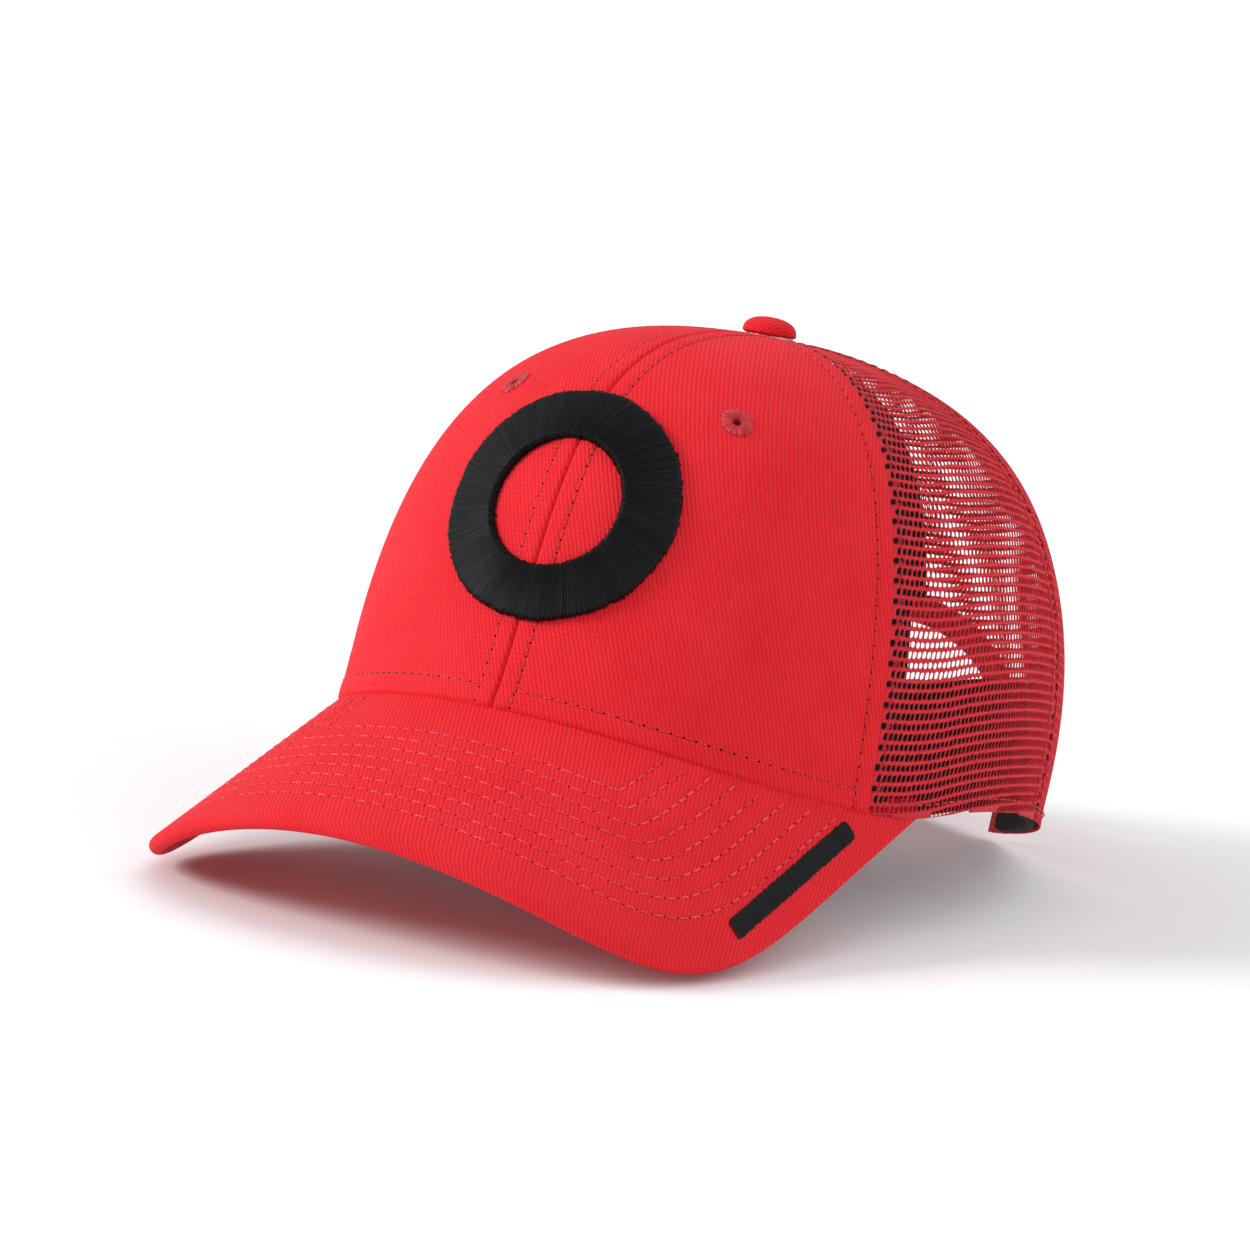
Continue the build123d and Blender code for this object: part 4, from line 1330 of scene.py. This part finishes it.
def strap_outline():
    """The strap's outline laid flat: s along it from the root, h across it about its middle."""
    half = STRAP_HEIGHT / 2
    back, front = STRAP_CORNER - STRAP_TAB - 0.9, STRAP_FREE - half
    return np.array([
        *((s, -half) for s in np.arange(back, front, 1.5)),
        *arc(front, 0.0, half, -90, 90, 33),
        *((s, half) for s in np.arange(front, back, -1.5)),
        *arc(back, half - STRAP_CORNER, STRAP_CORNER, 90, 180, 6)[1:],
        *arc(back, STRAP_CORNER - half, STRAP_CORNER, 180, 270, 6)[:-1],
    ])


def strap_sheet(hole_places):
    """The flat strap: its points, its triangles, and how far each point lies in from its edge."""
    def loop(first, count):
        return [(first + k, first + (k + 1) % count) for k in range(count)]

    border, half = strap_outline(), STRAP_HEIGHT / 2
    back, front, count = border[:, 0].min(), STRAP_FREE - half, len(border)
    way = np.stack([np.clip(border[:, 0], back + half, front) - border[:, 0], -border[:, 1]], -1)
    inward = way / np.maximum(np.linalg.norm(way, axis=1, keepdims=True), 1e-6)
    loops = [border + inward * inset for inset in BEAD_INSETS]
    rings = [(s + radius * math.cos(a), radius * math.sin(a)) for s in hole_places
             for radius in HOLE_RINGS for a in np.arange(HOLE_POINTS) * 2 * math.pi / HOLE_POINTS]
    grid = [(s, h) for s in np.arange(back + 2.4, STRAP_FREE - 2.4, 1.4) for h in np.arange(-7.0, 7.01, 1.4)
            if all(math.hypot(s - c, h) > PEG_HOLE + 1.5 for c in hole_places)
            and (s < front or math.hypot(s - front, h) < 7.2)]
    edges = loop(0, count)
    for hole in range(len(hole_places)):
        edges += loop(count * len(loops) + hole * len(HOLE_RINGS) * HOLE_POINTS, HOLE_POINTS)
    found = delaunay_2d_cdt([Vector(p) for p in (*np.concatenate(loops), *rings, *grid)], edges, [], 0, 1e-5)
    flat = np.array([tuple(v) for v in found[0]])
    triangles = np.array([f for f in found[2] if len(f) == 3])

    s, h = flat[triangles].mean(1).T
    h = np.abs(h)
    inside = (h < half) & (s > back) & ((s < front) | (np.hypot(s - front, h) < half))
    in_corner = (s < back + STRAP_CORNER) & (h > half - STRAP_CORNER)
    inside &= ~in_corner | (np.hypot(s - back - STRAP_CORNER, h - half + STRAP_CORNER) < STRAP_CORNER)
    for place in hole_places:
        inside &= np.hypot(s - place, h) > PEG_HOLE * 0.995
    gap = half - np.abs(flat[:, 1])
    over = flat[:, 0] > front
    gap[over] = half - np.hypot(flat[over, 0] - front, flat[over, 1])
    return flat, triangles[inside], np.minimum(gap, flat[:, 0] - back)


def build_strap(body, sign, depth_of, hole_places=()):
    """A moulded strap with its sewn tab, one sheet of plastic with a bead round its edge."""
    flat, triangles, gap = strap_sheet(hole_places)
    raised = 0.22 * bell(gap - 0.75, 0.55) * (flat[:, 0] > 0)
    for s in hole_places:
        raised = np.maximum(raised, 0.2 * bell(np.hypot(flat[:, 0] - s, flat[:, 1]) - PEG_HOLE - 0.5, 0.5))
    round_edge = 0.22 * ramp(1 - gap / 0.5)
    turn = np.degrees(flat[:, 0] / CLOSURE_RADIUS)
    phi, rise = 180 - ROOT_TURN + turn, STRAP_MIDDLE + flat[:, 1]
    depth = depth_of(np.clip(turn, 0, None))
    outer = wall(phi, rise, -depth + raised - round_edge)
    inner = wall(phi, rise, -depth - STRAP_THICK + round_edge)
    total = len(flat)
    rim = outline_edges(triangles)
    walls = np.concatenate([np.stack([rim[:, 1], rim[:, 0], rim[:, 0] + total], -1),
                            np.stack([rim[:, 1], rim[:, 0] + total, rim[:, 1] + total], -1)])
    a, b, c = outer[triangles[0]]
    if np.cross(b - a, c - a) @ (a * (1, 1, 0)) < 0:
        triangles, walls = triangles[:, ::-1], walls[:, ::-1]
    faces = np.concatenate([triangles, triangles[:, ::-1] + total, walls])
    strap = mesh_piece(body + "_moulded", mirror_x(np.concatenate([outer, inner]), sign), flip(faces, sign),
                       STRAP_PLASTIC, body=None, replaces=[body, body + "_tab"], slot="strap")
    strap.data.set_sharp_from_angle(angle=math.radians(50))
    bend = math.degrees(2.2 / CLOSURE_RADIUS)
    middle_depth = -STRAP_DEPTH - STRAP_THICK / 2
    start, end = (tuple(stand(mirror_x(wall(180 - ROOT_TURN + way * bend, STRAP_MIDDLE, middle_depth), sign)))
                  for way in (-0.35, 1))
    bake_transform(strap)


def arc_place(angle):
    """Length along a strap from its root to an angle of the closure."""
    return math.radians(angle - 180 + ROOT_TURN) * CLOSURE_RADIUS


build_strap("hole_strap", 1, lambda turn: np.full_like(turn, STRAP_DEPTH),
            [arc_place(360 - angle) for angle in PEG_ANGLES])
build_strap("peg_strap", -1, peg_depth)


def build_pegs():
    """Pegs with round heads, moulded on the strap that lies behind."""
    batch = Batch()
    turn = np.arange(HOLE_POINTS) * 2 * np.pi / HOLE_POINTS
    head = STRAP_GAP - STRAP_DEPTH
    top, stem = head + PEG_HEAD_THICK, PEG_RADIUS - 0.05
    for angle in PEG_ANGLES:
        here, across, up, out = plane_at(angle, STRAP_MIDDLE)
        foot = -float(peg_depth(np.array(180 + ROOT_TURN - angle))) - 0.3
        shape = np.array([
            (0.0, top - 0.25), (0.6, top - 0.22), (0.9, top - 0.02), (1.5, top), (1.95, top - 0.14),
            (PEG_HEAD - 0.08, head + 0.5), (PEG_HEAD, head + 0.3), (PEG_HEAD - 0.1, head + 0.05),
            (PEG_RADIUS + 0.05, head), (stem, head - 0.2), (stem, foot + 0.5), (PEG_RADIUS + 0.25, foot),
        ])
        ring = np.cos(turn)[:, None] * across + np.sin(turn)[:, None] * up
        ring = here + shape[:, 0][:, None, None] * ring + (shape[:, 1][:, None] * out)[:, None]
        batch.add(ring, grid_faces(len(shape), HOLE_POINTS, closed=True))
    pegs = batch.piece("peg_strap_pegs", STRAP_PLASTIC, body="peg_strap", slot="strap")
    pegs.data.set_sharp_from_angle(angle=math.radians(60))


build_pegs()


# ---- Label -----------------------------------------------------------------------------------------

def build_label():
    """A blank woven label, folded at its top and bottom, sewn along its ends."""
    middle, low, high, rows, cols = 112.0, 5.0, 27.0, 30, 60
    half = math.degrees(19.0 / float(plan_radius(middle)))
    across, up = np.meshgrid(np.linspace(middle - half, middle + half, cols), np.linspace(low, high, rows))
    edge = np.minimum((half - np.abs(across - middle)) * 1.5, np.minimum(up - low, high - up))
    lift = 0.42 * ramp(edge) ** 0.5 + 0.08 * np.sin(across * 0.7 + up * 0.2)
    place = np.stack([np.radians(across - middle + half) * 88, up], -1)
    faces = grid_faces(rows, cols)
    batch = Batch()
    batch.add(wall(across, up, -(5.15 + lift)), faces[:, ::-1], place)
    batch.add(wall(across, up, -5.12), faces, place)
    batch.piece("care_label_cloth", LABEL_CLOTH, replaces=["care_label"], slot="label")


build_label()


# ---- What stays as built ---------------------------------------------------------------------------

FINISHES = {
    "front_buckram": BUCKRAM,
    "seam_tape": TAPE_CLOTH,
    "button_shell": METAL,
    "button_backing": METAL,
}
for name, node in frame["nodes"].items():
    for start, material in FINISHES.items():
        if name.startswith(start):
            node.data.materials.clear()
            node.data.materials.append(material)


# ---- Room ------------------------------------------------------------------------------------------

def build_stage():
    g = Graph("floor_paint")
    grain = g.noise(g.object_place(), 60.0, 3.0, 0.6)
    paint = g.finish(g.mix(g.span(grain, 0.3, 0.7), rgb(248, 248, 248), rgb(250, 250, 250)), 0.9,
                     Specular_IOR_Level=0.1)
    bpy.ops.mesh.primitive_plane_add(size=60, location=(0, 0, -0.0005))
    floor = bpy.context.object
    floor.name = "studio_floor"
    floor.data.materials.append(paint)


def add_sun(name, toward, softness, strength):
    """Even light from a direction, with its angular width in degrees."""
    light = bpy.data.lights.new(name, "SUN")
    light.angle, light.energy = math.radians(softness), strength
    lamp = bpy.data.objects.new(name, light)
    lamp.rotation_euler = Vector(toward).to_track_quat("Z", "Y").to_euler()
    bpy.context.scene.collection.objects.link(lamp)


def build_camera():
    """The photograph's view: from low in front, a little to the wearer's left, with the cap tipped."""
    azimuth, elevation, roll = math.radians(27.98), math.radians(1.675), math.radians(10.27)
    distance, target, left, down = 1489.0, np.array([0.0, -30.0, 50.0]), 9.13, 7.24
    back = np.array([math.sin(azimuth) * math.cos(elevation), -math.cos(azimuth) * math.cos(elevation),
                     math.sin(elevation)])
    right = np.array([math.cos(azimuth), math.sin(azimuth), 0])
    up = np.cross(back, right)
    eye = target + back * distance
    right, up = (math.cos(roll) * right + math.sin(roll) * up, -math.sin(roll) * right + math.cos(roll) * up)
    aim = target - left * right - down * up
    back = unit(eye - aim)
    right = unit(np.cross(up, back))
    up = np.cross(back, right)
    camera = bpy.data.cameras.new("photo_camera")
    camera.lens, camera.sensor_width = 178.96, 36.0
    camera.clip_start, camera.clip_end = 0.05, 50
    lens = bpy.data.objects.new("photo_camera", camera)
    axes = np.stack([tip(right), tip(up), tip(back)], 1)
    pose = Matrix(axes.tolist()).to_4x4()
    pose.translation = Vector(stand(eye))
    lens.matrix_world = pose
    bpy.context.scene.collection.objects.link(lens)
    bpy.context.scene.camera = lens


build_stage()
build_camera()
add_sun("key_light", (-1.2, -0.85, 0.75), 24, 2.3)
add_sun("fill_light", (1.0, 0.0, 0.6), 50, 0.6)
add_sun("top_light", (0.1, 0.4, 1.0), 60, 0.5)
world = bpy.data.worlds.new("studio_world")
world.use_nodes = True
world.node_tree.nodes["Background"].inputs[0].default_value = (0.95, 0.97, 1.0, 1)
world.node_tree.nodes["Background"].inputs[1].default_value = 0.62
bpy.context.scene.world = world
bpy.context.scene.view_settings.view_transform = "Standard"
